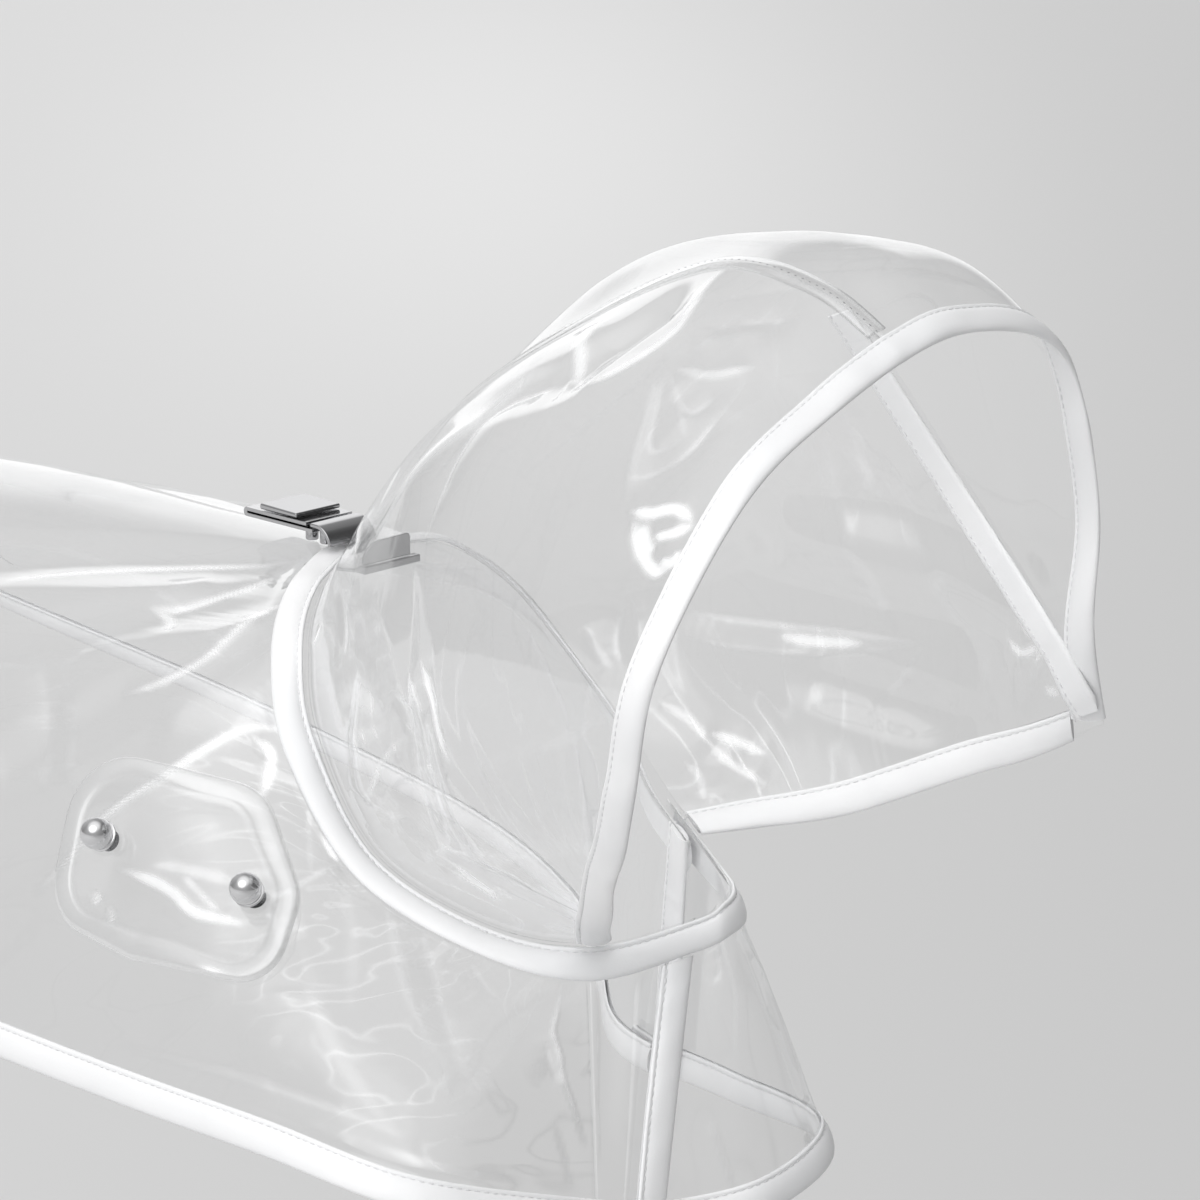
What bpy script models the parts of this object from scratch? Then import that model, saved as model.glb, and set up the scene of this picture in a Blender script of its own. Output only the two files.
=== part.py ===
"""Hooded dog windbreaker in clear film with white folded binding, as worn.

Metres, +Z up, +X towards the wearer's head, +Y to its left. The origin is the nape, where the crown seam of
the hood meets the collar. Tables are in millimetres. Every film wall is an open grid with a Solidify
modifier; bindings and tapes are lofts that use the same grid points, moved out, so facets stay parallel.
"""
import math

import bmesh
import bpy
import numpy as np
from mathutils import Vector
from mathutils.bvhtree import BVHTree

MM = 0.001
FILM = 1.0             # wall of the clear film
GAP = 0.3              # between pieces that are sewn or riveted together
SEAM = 0.35            # each panel stops this far short of a shared seam
TAPE = 11.0            # finished width of the folded binding
LEG = 1.0              # thickness of one leg of the folded binding
FLAT_TAPE = 1.2        # thickness of the collar band and the seam tape
BINDING_END = 0.8      # a binding ends this far short of the one it meets
UNDERLAP = 4.0         # depth of a front edge that runs under its neighbour
LAP_WIDTH = 0.55       # how far a panel runs under, in ribs
LAP_FADE = 1.3         # ribs over which it comes back up
LAP_CELLS = (TAPE, 9.0, 9.0, 9.0, 12.0, 16.0)   # grid cells at a lapped edge, from the edge inward
COLLAR_LINE = TAPE + 1.0
COLLAR_LIFT = 0.55     # the collar band's underside above the film
COLLAR_START = 0.08    # its upper edge, as a share of the body's first cell
HOOD_START = 1.2       # the hood's base above the collar ring

STUD_BALL = 4.5        # ball radius
CAP_RADIUS = 4.6       # the stud's cap inside the film
STUD_PLACES = ((-31.0, 7.0), (29.0, -3.0))
PATCH_MIDDLE = (38.0, -111.0, -78.0)
PATCH_HEADING = 15.0   # the way its length runs in plan, degrees off +X
PATCH_RIM = 7.0
PATCH_PLATE = 1.0
PATCH_LIFT = 0.8       # under the plate at the film's highest points
PATCH_RIM_HEIGHT = 1.8
PATCH_CORNER = 15.0
PATCH_PROBE = 25.0     # radius of the ring of film normals that sets the patch's plane
PATCH_OUTLINE = ((-50.0, 36.0), (20.0, 33.0), (46.0, 0.0), (48.0, -33.0), (-8.0, -31.0), (-48.0, -20.0))

# Ribs of the body run from the collar ring to the hem, round the wearer from the centre-front edge over its
# right side, the spine (rib 8) and its left side to the chest.
# Columns: neck point, hem point, and where the rib's bow is carried between them, in plan and in height.
RIBS = (
    ((166, -5, -88), (191, -46, -178), 0.50, 0.45),
    ((151, -39, -93), (187, -70, -172), 0.50, 0.45),
    ((121, -57, -89), (160, -124, -157), 0.66, 0.38),
    ((82, -67, -72), (104, -138, -149), 0.76, 0.32),
    ((52, -64, -39), (28, -141, -147), 0.78, 0.26),
    ((37, -54, -15), (-70, -142, -143), 0.76, 0.22),
    ((20, -34, -5), (-205, -139, -134), 0.74, 0.17),
    ((9, -15, -1), (-375, -104, -92), 0.70, 0.10),
    ((4, 0, 1), (-420, 0, -26), 0.50, -0.28),
    ((9, 13, 2), (-375, 104, -88), 0.70, 0.10),
    ((18, 28, 2), (-215, 135, -122), 0.74, 0.16),
    ((31, 43, -11), (-85, 132, -140), 0.76, 0.22),
    ((50, 50, -31), (-10, 114, -153), 0.78, 0.28),
    ((82, 48, -54), (40, 80, -162), 0.70, 0.36),
    ((110, 40, -70), (84, 50, -166), 0.50, 0.45),
    ((142, 30, -83), (138, 41, -167), 0.50, 0.45),
    ((161, 16, -83), (192, 32, -168), 0.50, 0.48),
    ((168, 5, -84), (203, -8, -176), 0.50, 0.48),
)
RIGHT_EDGE, RIGHT_SEAM, SPINE, LEFT_EDGE, CHEST_END = 0.0, 1.0, 8.0, 14.0, 18.0

# The hood is one crown line and two half shells. Each row is a section; section 0 is the collar ring itself
# and the last one is the face opening. Columns: crown, ridge, roof, side, low and base points.
HOOD_RIGHT = (
    ((50, 0, 57), (54, -26, 47), (62, -48, 29), (86, -76, -8), (121, -76, -55), (162, -49, -84)),
    ((108, 0, 96), (110, -31, 86), (116, -64, 62), (137, -95, 10), (158, -90, -38), (181, -65, -71)),
    ((168, 0, 125), (171, -38, 104), (179, -71, 78), (186, -103, 24), (194, -100, -18), (203, -81, -54)),
    ((212, 0, 124), (214, -35, 106), (217, -72, 80), (216, -105, 27), (215, -103, -13), (211, -87, -46)),
    ((248, 0, 108), (249, -31, 97), (250, -71, 77), (246, -105, 30), (236, -104, -8), (220, -93, -37)),
)
HOOD_LEFT = (
    ((50, 0, 57), (53, 23, 64), (61, 48, 48), (84, 72, -2), (108, 66, -40), (140, 50, -75)),
    ((108, 0, 96), (108, 31, 113), (115, 67, 89), (134, 89, 28), (148, 82, -22), (164, 68, -69)),
    ((168, 0, 125), (170, 32, 131), (178, 70, 112), (184, 96, 42), (190, 93, -10), (198, 88, -53)),
    ((212, 0, 124), (214, 34, 131), (219, 70, 115), (220, 94, 45), (220, 91, -3), (221, 94, -43)),
    ((248, 0, 108), (248, 30, 112), (250, 72, 99), (250, 90, 46), (248, 90, 6), (243, 103, -30)),
)
HOOD_NECK_RIGHT = (8.0, 6.7, 5.6, 4.3, 2.8, 0.9)
HOOD_NECK_LEFT = (8.0, 9.1, 10.4, 11.8, 13.0, 14.5)

# Largest folds: a soft trough (or a ridge, where depth is negative) along a line on one panel.
# Columns: panel, start, end, width, depth.
FOLDS = (
    ("hood_right", (60, -30, 36), (150, -45, 90), 16, 3.0),
    ("hood_right", (150, -45, 92), (166, -18, 112), 14, 4.0),
    ("hood_right", (118, -90, -10), (112, -82, -62), 17, 3.5),
    ("hood_right", (148, -100, -5), (143, -85, -62), 15, -3.0),
    ("hood_right", (92, -80, -14), (84, -74, -52), 14, -3.0),
    ("hood_left", (118, 84, 14), (214, 98, 10), 18, 4.5),
    ("hood_left", (140, 80, -30), (190, 92, -38), 14, -3.5),
    ("hood_left", (60, 40, 42), (140, 70, 88), 18, 3.0),
    ("back", (-6, -20, -4), (-165, -62, -22), 20, 4.0),
    ("back", (4, -36, -10), (-110, -92, -46), 20, 4.0),
    ("back", (20, -54, -22), (-52, -112, -62), 18, 3.5),
    ("back", (-6, 20, -4), (-165, 62, -22), 20, 4.0),
    ("back", (4, 36, -10), (-110, 92, -46), 20, 4.0),
    ("back", (78, -84, -84), (62, -128, -128), 16, -3.5),
    ("back", (-280, -90, -50), (-300, -112, -86), 24, 4.0),
    ("back", (-280, 90, -50), (-310, 110, -80), 24, 4.0),
    ("chest", (176, 22, -104), (192, 26, -150), 12, 3.0),
    ("front_right", (160, -40, -112), (176, -58, -150), 10, 2.0),
)

# The straight tape inside the left half of the hood, from the crown seam to the lower corner.
HOOD_TAPE = (
    (156, 10, 116), (158, 40, 112), (160, 66, 98), (166, 84, 71), (188, 91, 45), (209, 94, 18), (226, 96, -6),
)

CLASP_WIDTH = 21.0
CLASP_X = (-41.0, -7.0)
CLASP_LEVEL = 8.2      # underside of the base plate
CLASP_SHEET = 1.2
POST_RADIUS = 2.2

COLOURS = {
    "clear_film": ((0.90, 0.92, 0.94), 0.06, 0.0, 0.85),
    "patch_film": ((0.88, 0.90, 0.92), 0.16, 0.0, 0.60),
    "white_binding": ((0.86, 0.86, 0.86), 0.45, 0.0, 0.0),
    "polished_steel": ((0.55, 0.55, 0.56), 0.18, 1.0, 0.0),
}


# ---------------------------------------------------------------- scene

def clear_scene():
    for thing in list(bpy.data.objects):
        bpy.data.objects.remove(thing, do_unlink=True)


def new_collection(name):
    collection = bpy.data.collections.new(name)
    bpy.context.scene.collection.children.link(collection)
    return collection


def make_material(name):
    colour, roughness, metallic, transmission = COLOURS[name]
    material = bpy.data.materials.new(name)
    material.use_nodes = True
    shader = material.node_tree.nodes["Principled BSDF"]
    shader.inputs["Base Color"].default_value = (*colour, 1.0)
    shader.inputs["Roughness"].default_value = roughness
    shader.inputs["Metallic"].default_value = metallic
    shader.inputs["Transmission Weight"].default_value = transmission
    return material


def add_object(name, mesh, material):
    thing = bpy.data.objects.new(name, mesh)
    thing.data.materials.append(MATERIALS[material])
    GARMENT.objects.link(thing)
    return thing


# ---------------------------------------------------------------- curves and grids, in millimetres

def spline(rows, t, closed=False):
    """A smooth curve through the rows (Catmull-Rom), t counted in rows."""
    count = len(rows)
    if not closed:
        t = min(max(t, 0.0), count - 1.0)
    start = int(math.floor(t))
    if not closed:
        start = min(start, count - 2)
    part = t - start

    def row(k):
        if closed:
            return rows[k % count]
        if k < 0:
            return 2 * rows[0] - rows[1]
        if k >= count:
            return 2 * rows[-1] - rows[-2]
        return rows[k]

    a, b, c, d = (row(start + k) for k in (-1, 0, 1, 2))
    return 0.5 * (2 * b + (c - a) * part + (2 * a - 5 * b + 4 * c - d) * part ** 2
                  + (3 * b - 3 * c + d - a) * part ** 3)


def resample(line, cells, first=(), last=()):
    """Even points along a dense line; first and last list cells at its ends that have lengths of their own."""
    steps = np.linalg.norm(np.diff(line, axis=0), axis=1)
    reach = np.concatenate(([0.0], np.cumsum(steps)))
    head = np.concatenate(([0.0], np.cumsum(first)))
    tail = (reach[-1] - np.concatenate(([0.0], np.cumsum(last))))[::-1]
    middle = np.linspace(head[-1], tail[0], cells + 1 - len(first) - len(last))
    marks = np.concatenate((head[:-1], middle, tail[1:]))
    return np.stack([np.interp(marks, reach, line[:, axis]) for axis in range(3)], axis=1)


def even_grid(dense, u_cells, v_cells, u_ends=((), ()), v_ends=((), ())):
    """dense[u, v] resampled evenly, first down each v line, then along each u line."""
    down = np.stack([resample(line, v_cells, *v_ends) for line in dense])
    return np.stack([resample(down[:, j], u_cells, *u_ends) for j in range(v_cells + 1)], axis=1)


def grid_normals(grid, side):
    """Unit normals at the grid's points, each quad weighted by its corner angle, as a mesh's vertices have.

    side is 1 or -1, whichever points out of the garment.
    """
    total = np.zeros_like(grid)
    rows, columns = grid.shape[:2]
    corners = ((0, 0), (1, 0), (1, 1), (0, 1))
    ring = [grid[i:rows - 1 + i, j:columns - 1 + j] for i, j in corners]
    face = np.cross(ring[2] - ring[0], ring[3] - ring[1])
    face /= np.linalg.norm(face, axis=2, keepdims=True)
    for k, (i, j) in enumerate(corners):
        arm_one = ring[(k + 1) % 4] - ring[k]
        arm_two = ring[k - 1] - ring[k]
        cosine = (arm_one * arm_two).sum(axis=2)
        cosine /= np.linalg.norm(arm_one, axis=2) * np.linalg.norm(arm_two, axis=2)
        angle = np.arccos(np.clip(cosine, -1.0, 1.0))[..., None]
        total[i:rows - 1 + i, j:columns - 1 + j] += face * angle * side
    return total / np.linalg.norm(total, axis=2, keepdims=True)


def fold_depth(points, start, end, width, depth):
    """How far each point sinks into one fold: full along its middle, fading to its sides and ends."""
    start = np.array(start, float)
    run = np.array(end, float) - start
    along = np.clip(((points - start) @ run) / (run @ run), 0.0, 1.0)
    away = np.linalg.norm(points - start - along[..., None] * run, axis=-1) / width
    profile = np.clip(1.0 - away ** 2, 0.0, None) ** 2
    return depth * profile * (0.35 + 0.65 * np.sin(math.pi * along) ** 0.5)


def folded(grid, side, panel, edge_free=2):
    """Sink the panel's folds into its grid, leaving its outer lines where the seams need them."""
    normal = grid_normals(grid, side)
    depth = np.zeros(grid.shape[:2])
    for name, start, end, width, fold in FOLDS:
        if name == panel:
            depth += fold_depth(grid, start, end, width, fold)
    depth[:edge_free] = 0.0
    depth[-edge_free:] = 0.0
    depth[:, :edge_free] = 0.0
    depth[:, -edge_free:] = 0.0
    return grid - normal * depth[..., None]


# ---------------------------------------------------------------- the garment's two surfaces

NECK_POINTS = np.array([row[0] for row in RIBS], float)
HEM_POINTS = np.array([row[1] for row in RIBS], float)
BOW_POINTS = np.array([(*(np.array(neck[:2]) * (1 - carry) + np.array(hem[:2]) * carry),
                        neck[2] * (1 - drop) + hem[2] * drop) for neck, hem, carry, drop in RIBS], float)


def neck_point(rib):
    return spline(NECK_POINTS, rib, closed=True)


def rib_line(rib, count=40):
    """One rib as a bowed line from the collar ring down to the hem."""
    neck, bow, hem = (spline(points, rib, closed=True) for points in (NECK_POINTS, BOW_POINTS, HEM_POINTS))
    t = np.linspace(0.0, 1.0, count)[:, None]
    return (1 - t) ** 2 * neck + 2 * t * (1 - t) * bow + t ** 2 * hem


def body_grid(ribs, u_cells, v_cells, u_ends, under=None):
    """Grid of a body panel between two ribs. From the rib named by under, it runs beneath its neighbour."""
    samples = np.linspace(ribs[0], ribs[1], int(abs(ribs[1] - ribs[0]) * 14) + 12)
    dense = np.stack([rib_line(rib) for rib in samples])
    if under is not None:
        normal = grid_normals(dense, 1)
        away = np.clip((under - samples) / LAP_FADE, 0.0, 1.0)
        sink = UNDERLAP * (1 - away ** 2 * (3 - 2 * away))
        dense = dense - normal * sink[:, None, None]
    return even_grid(dense, u_cells, v_cells, u_ends, ((COLLAR_LINE,), (TAPE,)))


def hood_lattice(sections, neck_ribs):
    ring = [neck_point(rib) for rib in neck_ribs]
    return np.array([ring] + [list(map(np.array, row)) for row in sections], float)


def hood_dense(sections, neck_ribs, count=48):
    """Half of the hood through its sections, with its base brought exactly onto the collar ring."""
    lattice = hood_lattice(sections, neck_ribs)
    across = np.linspace(0.0, 1.0, count)
    v_top = lattice.shape[1] - 1.0
    u_top = lattice.shape[0] - 1.0
    down = np.stack([np.stack([spline(row, v * v_top) for v in across]) for row in lattice])
    dense = np.stack([np.stack([spline(down[:, j], u * u_top) for j in range(count)]) for u in across])
    ring = np.stack([neck_point(spline(np.array(neck_ribs, float), v * v_top)) for v in across])
    pull = (1 - across) ** 3
    return dense + pull[:, None, None] * (ring - dense[0])[None]


# ---------------------------------------------------------------- solids

def grid_mesh(name, grid, side):
    """An open sheet of quads whose faces point out of the garment."""
    rows, columns = grid.shape[:2]
    points = [tuple(point * MM) for point in grid.reshape(-1, 3)]
    faces = []
    for i in range(rows - 1):
        for j in range(columns - 1):
            corners = [i * columns + j, (i + 1) * columns + j, (i + 1) * columns + j + 1, i * columns + j + 1]
            faces.append(corners if side > 0 else corners[::-1])
    mesh = bpy.data.meshes.new(name)
    mesh.from_pydata(points, [], faces)
    mesh.shade_smooth()
    return mesh


def add_film(name, grid, side, thickness=FILM, material="clear_film"):
    """A film wall: the sheet is its outer face and Solidify gives it its thickness."""
    wall = add_object(name, grid_mesh(name, grid, side), material)
    solidify = wall.modifiers.new("wall", "SOLIDIFY")
    solidify.thickness = thickness * MM
    solidify.offset = -1.0
    return wall


def add_loft(name, rings, section, material):
    """A closed solid through equal rings.

    section lists the point pairs that close each end with quads, and the sides whose quads start at the
    other corner, so that they split along the same diagonal as the film they lie on.
    """
    pairs, turned_sides = section
    rings = [np.asarray(ring) for ring in rings]
    count = len(rings[0])
    mesh = bpy.data.meshes.new(name)
    shape = bmesh.new()
    verts = [[shape.verts.new(Vector(point * MM)) for point in ring] for ring in rings]
    for here, there in zip(verts, verts[1:]):
        for k in range(count):
            quad = (here[k], here[(k + 1) % count], there[(k + 1) % count], there[k])
            shape.faces.new(quad[1:] + quad[:1] if k in turned_sides else quad)
    for ring in (verts[0], verts[-1]):
        for (a, b), (c, d) in zip(pairs, pairs[1:]):
            shape.faces.new((ring[a], ring[c], ring[d], ring[b]))
    bmesh.ops.recalc_face_normals(shape, faces=shape.faces)
    shape.to_mesh(mesh)
    shape.free()
    return add_object(name, mesh, material)


# Sections of the two kinds of tape: end pairs, then the sides split the other way.
CHANNEL = (((0, 9), (1, 8), (2, 7), (3, 6), (4, 5)), (3, 8))
STRIP = (((0, 3), (1, 2)), (0,))


def channel_ring(edge, inner, edge_normal, inner_normal):
    """Section of a folded binding: two legs over the film's edge, closed by a fold outside it."""
    outward = edge - inner
    outward = outward / np.linalg.norm(outward)
    middle = 0.5 * FILM
    near = middle + GAP
    far = near + LEG
    tip = inner - inner_normal * middle
    bend = edge - edge_normal * middle + outward * 0.1
    fold = edge - edge_normal * middle
    return [tip + inner_normal * far, bend + edge_normal * far, fold + outward * (GAP + LEG + 0.4),
            bend - edge_normal * far, tip - inner_normal * far, tip - inner_normal * near,
            bend - edge_normal * near, fold + outward * (GAP + 0.1), bend + edge_normal * near,
            tip + inner_normal * near]


def add_channel(name, stations):
    return add_loft(name, [channel_ring(*station) for station in stations], CHANNEL, "white_binding")


def strip_ring(first, second, first_normal, second_normal, lift, thickness=FLAT_TAPE):
    return [first + first_normal * (lift + thickness), second + second_normal * (lift + thickness),
            second + second_normal * lift, first + first_normal * lift]


def edge_stations(grid, normals, edge, inner, axis, keep=slice(None)):
    """Binding stations along one border of a grid: its edge line and the line a tape's width inside."""
    take = (lambda array, k: array[k, keep]) if axis == "u" else (lambda array, k: array[keep, k])
    return list(zip(take(grid, edge), take(grid, inner), take(normals, edge), take(normals, inner)))


def shortened(stations, start=0.0, end=0.0):
    """Pull the first or last station along the run, so that a binding ends clear of its neighbour."""
    stations = [tuple(np.array(part) for part in station) for station in stations]

    def pulled(station, toward, length):
        run = np.linalg.norm(toward[0] - station[0])
        share = length / run
        return tuple(part * (1 - share) + other * share for part, other in zip(station, toward))

    if start:
        stations[0] = pulled(stations[0], stations[1], start)
    if end:
        stations[-1] = pulled(stations[-1], stations[-2], end)
    return stations


# ---------------------------------------------------------------- film panels and their bindings

def build_hood():
    right = even_grid(hood_dense(HOOD_RIGHT, HOOD_NECK_RIGHT), 20, 18, ((4.0,), (TAPE,)), ((2.0,), ()))
    left = even_grid(hood_dense(HOOD_LEFT, HOOD_NECK_LEFT), 20, 18, ((4.0,), (TAPE,)), ((2.0,), (TAPE,)))
    for grid, way in ((right, -1.0), (left, 1.0)):
        base_step = grid[1] - grid[0]
        grid[0] += base_step / np.linalg.norm(base_step, axis=1, keepdims=True) * HOOD_START
        grid[:, 0, 1] = way * SEAM
    right = folded(right, -1, "hood_right")
    left = folded(left, 1, "hood_left")
    add_film("hood_panel_right", right, -1)
    left_wall = add_film("hood_panel_left", left, 1)

    right_normals = grid_normals(right, -1)
    left_normals = grid_normals(left, 1)
    down_right = edge_stations(right, right_normals, -1, -2, "u")[::-1]
    down_left = edge_stations(left, left_normals, -1, -2, "u")
    crown = tuple((a + b) / 2 for a, b in zip(down_right[-1], down_left[0]))
    face = shortened(down_right[:-1] + [crown] + down_left[1:], start=BINDING_END + 1.2)
    add_channel("hood_face_binding", face)
    lower = edge_stations(left, left_normals, -1, -2, "v")[:-1]
    add_channel("hood_lower_binding_left", shortened(lower, start=BINDING_END + 1.2, end=BINDING_END))
    add_hood_tape(left_wall)


def add_hood_tape(wall):
    """The diagonal tape lies on the inner face of the left half, square to its own run."""
    inside = surface_tree(wall)
    line = [np.array(point, float) for point in HOOD_TAPE]
    dense = np.stack([spline(np.stack(line), t) for t in np.linspace(0, len(line) - 1, 60)])
    path = resample(dense, 18)
    rings = []
    for k, point in enumerate(path):
        seat, normal = inner_seat(inside, point)
        run = path[min(k + 1, len(path) - 1)] - path[max(k - 1, 0)]
        across = np.cross(run, normal)
        across *= 0.5 * TAPE / np.linalg.norm(across)
        first, first_normal = inner_seat(inside, seat + across)
        second, second_normal = inner_seat(inside, seat - across)
        rings.append(strip_ring(first, second, first_normal, second_normal, GAP + 0.9, 1.0))
    add_loft("hood_seam_tape_left", rings, STRIP, "white_binding")


def surface_tree(thing):
    """A search tree over an object's evaluated faces, in millimetres."""
    graph = bpy.context.evaluated_depsgraph_get()
    mesh = thing.evaluated_get(graph).to_mesh()
    points = [thing.matrix_world @ vertex.co / MM for vertex in mesh.vertices]
    faces = [tuple(face.vertices) for face in mesh.polygons]
    return BVHTree.FromPolygons(points, faces)


def inner_seat(tree, point):
    """The nearest point of the wall's inner face, found from inside the hood, and the way off it."""
    centre = np.array((point[0], 0.0, min(point[2], 40.0)))
    way = point - centre
    way = way / np.linalg.norm(way)
    hit = tree.ray_cast(Vector(centre), Vector(way))
    seat = np.array(hit[0])
    normal = np.array(hit[1])
    return seat, normal if normal @ way < 0 else -normal


def build_body():
    back = body_grid((RIGHT_SEAM, LEFT_EDGE + LAP_WIDTH), 48, 17, ((SEAM,), LAP_CELLS), under=LEFT_EDGE)
    front = body_grid((RIGHT_EDGE, RIGHT_SEAM), 6, 10, ((TAPE,), (SEAM,)))
    chest_ends = (LAP_CELLS[:2], LAP_CELLS[:4])
    chest = body_grid((LEFT_EDGE, CHEST_END + LAP_WIDTH), 18, 12, chest_ends, under=CHEST_END)
    back = folded(back[1:], 1, "back")
    front = folded(front[:-1], 1, "front_right")
    chest = folded(chest, 1, "chest")
    panels = {"back_panel": back, "front_panel_right": front, "chest_panel": chest}
    walls = {name: add_film(name, grid, 1) for name, grid in panels.items()}
    normals = {name: grid_normals(grid, 1) for name, grid in panels.items()}

    hem_front = edge_stations(front, normals["front_panel_right"], -1, -2, "v", slice(1, None))
    hem_back = edge_stations(back, normals["back_panel"], -1, -2, "v", slice(0, -1))
    add_channel("hem_binding", shortened(hem_front + hem_back, start=BINDING_END, end=BINDING_END))
    hem_chest = edge_stations(chest, normals["chest_panel"], -1, -2, "v")
    add_channel("chest_hem_binding", hem_chest)
    edge = edge_stations(front, normals["front_panel_right"], 0, 1, "u", slice(1, None))
    add_channel("front_edge_binding_right", shortened(edge, start=BINDING_END)[::-1])
    left = edge_stations(back, normals["back_panel"], -1, -2, "u", slice(1, None))
    add_channel("front_edge_binding_left", shortened(left, start=BINDING_END))
    add_collar(panels, normals)
    return walls


def collar_rings(grid, normals, keep):
    """Sections of the collar band, lying on the first lines of a body panel."""
    rings = []
    for first, second, first_normal, second_normal in edge_stations(grid, normals, 0, 1, "v", keep):
        start = first + (second - first) * COLLAR_START
        rings.append(strip_ring(start, second, first_normal, second_normal, COLLAR_LIFT))
    return rings


def add_collar(panels, normals):
    back, front, chest = (panels[name] for name in ("back_panel", "front_panel_right", "chest_panel"))
    back_normals, front_normals, chest_normals = (normals[name] for name in panels)
    nape = int(np.argmin(np.abs(back[:, 0, 1]) + np.abs(back[:, 0, 0])))
    right = collar_rings(back, back_normals, slice(0, nape + 1))[::-1]
    right += collar_rings(front, front_normals, slice(None))[::-1]
    right += [free_collar_ring(rib) for rib in np.linspace(CHEST_END - 0.25, LEFT_EDGE + 0.1, 15)]
    add_loft("collar_band_right", right, STRIP, "white_binding")
    left = collar_rings(back, back_normals, slice(nape + 1, None))[::-1]
    add_loft("collar_band_left", left, STRIP, "white_binding")


def free_collar_ring(rib):
    """A collar section over the chest, on the body's outer surface even where the panel dips under."""
    step = 0.05
    lines = [resample(rib_line(r), 12, (COLLAR_LINE,)) for r in (rib - step, rib, rib + step)]
    normals = grid_normals(np.stack(lines), 1)[1]
    start = lines[1][0] + (lines[1][1] - lines[1][0]) * COLLAR_START
    return strip_ring(start, lines[1][1], normals[0], normals[1], COLLAR_LIFT)


# ---------------------------------------------------------------- patches and studs

def rounded_outline(corners, radius, per_corner=5):
    """A polygon with each corner turned into an arc."""
    points = []
    count = len(corners)
    for k in range(count):
        before, corner, after = (np.array(corners[(k + s) % count], float) for s in (-1, 0, 1))
        arm_in = (before - corner) / np.linalg.norm(before - corner)
        arm_out = (after - corner) / np.linalg.norm(after - corner)
        half = math.acos(np.clip(arm_in @ arm_out, -1, 1)) / 2
        reach = radius / math.tan(half)
        reach = min(reach, 0.45 * min(np.linalg.norm(before - corner), np.linalg.norm(after - corner)))
        round_off = reach * math.tan(half)
        centre = corner + (arm_in + arm_out) / np.linalg.norm(arm_in + arm_out) * round_off / math.sin(half)
        start = corner + arm_in * reach - centre
        end = corner + arm_out * reach - centre
        turn = math.atan2(start[0] * end[1] - start[1] * end[0], start @ end)
        for step in range(per_corner):
            angle = turn * step / (per_corner - 1)
            c, s = math.cos(angle), math.sin(angle)
            points.append(centre + np.array((start[0] * c - start[1] * s, start[0] * s + start[1] * c)))
    return np.array(points)


class Seat:
    """A spot on a side of the body, where a stiffer plate rests on the film's high points.

    Flat coordinates a (forward) and b (up) are measured on the film's mean plane there; the plate is a
    gently bent sheet, fitted to the film and raised until it clears it everywhere.
    """

    def __init__(self, tree):
        turn = math.radians(PATCH_HEADING)
        self.tree = tree
        self.middle = np.array(PATCH_MIDDLE)
        self.forward = np.array((math.cos(turn), math.sin(turn), 0.0))
        self.out = np.array((math.sin(turn), -math.cos(turn), 0.0))
        self.up = np.array((0.0, 0.0, 1.0))
        around = np.linspace(0.0, 2 * math.pi, 8, endpoint=False)
        mean = sum(self.film_at(PATCH_PROBE * math.cos(k), PATCH_PROBE * math.sin(k))[1] for k in around)
        self.out = mean / np.linalg.norm(mean)
        self.forward = self.forward - self.out * (self.forward @ self.out)
        self.forward /= np.linalg.norm(self.forward)
        self.up = np.cross(self.out, self.forward)
        self.fit_plate()

    def film_at(self, a, b):
        """The film's outer face under the flat coordinates, and its normal."""
        start = self.middle + self.forward * a + self.up * b + self.out * 60.0
        point, normal, _, _ = self.tree.ray_cast(Vector(start), Vector(-self.out))
        return np.array(point), np.array(normal)

    def fit_plate(self):
        flat = [tuple(point * share) for point in rounded_outline(PATCH_OUTLINE, PATCH_CORNER)
                for share in np.linspace(0.05, 1.02, 24)]
        heights = np.array([(self.film_at(a, b)[0] - self.middle) @ self.out for a, b in flat])
        terms = np.array([self.bend(a, b) for a, b in flat])
        self.plate = np.linalg.lstsq(terms, heights, rcond=None)[0]
        self.lift = float(np.max(heights - terms @ self.plate)) + PATCH_LIFT

    @staticmethod
    def bend(a, b):
        return (1.0, a, b, a * a, a * b, b * b)

    def plate_at(self, a, b, height=0.0):
        """A point of the plate's underside, or that far above it."""
        rise = float(np.dot(self.bend(a, b), self.plate)) + self.lift + height
        return self.middle + self.forward * a + self.up * b + self.out * rise

    def plate_normal(self, a, b):
        step = 2.0
        run_a = self.plate_at(a + step, b) - self.plate_at(a - step, b)
        run_b = self.plate_at(a, b + step) - self.plate_at(a, b - step)
        normal = np.cross(run_a, run_b)
        return normal / np.linalg.norm(normal)


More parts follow.
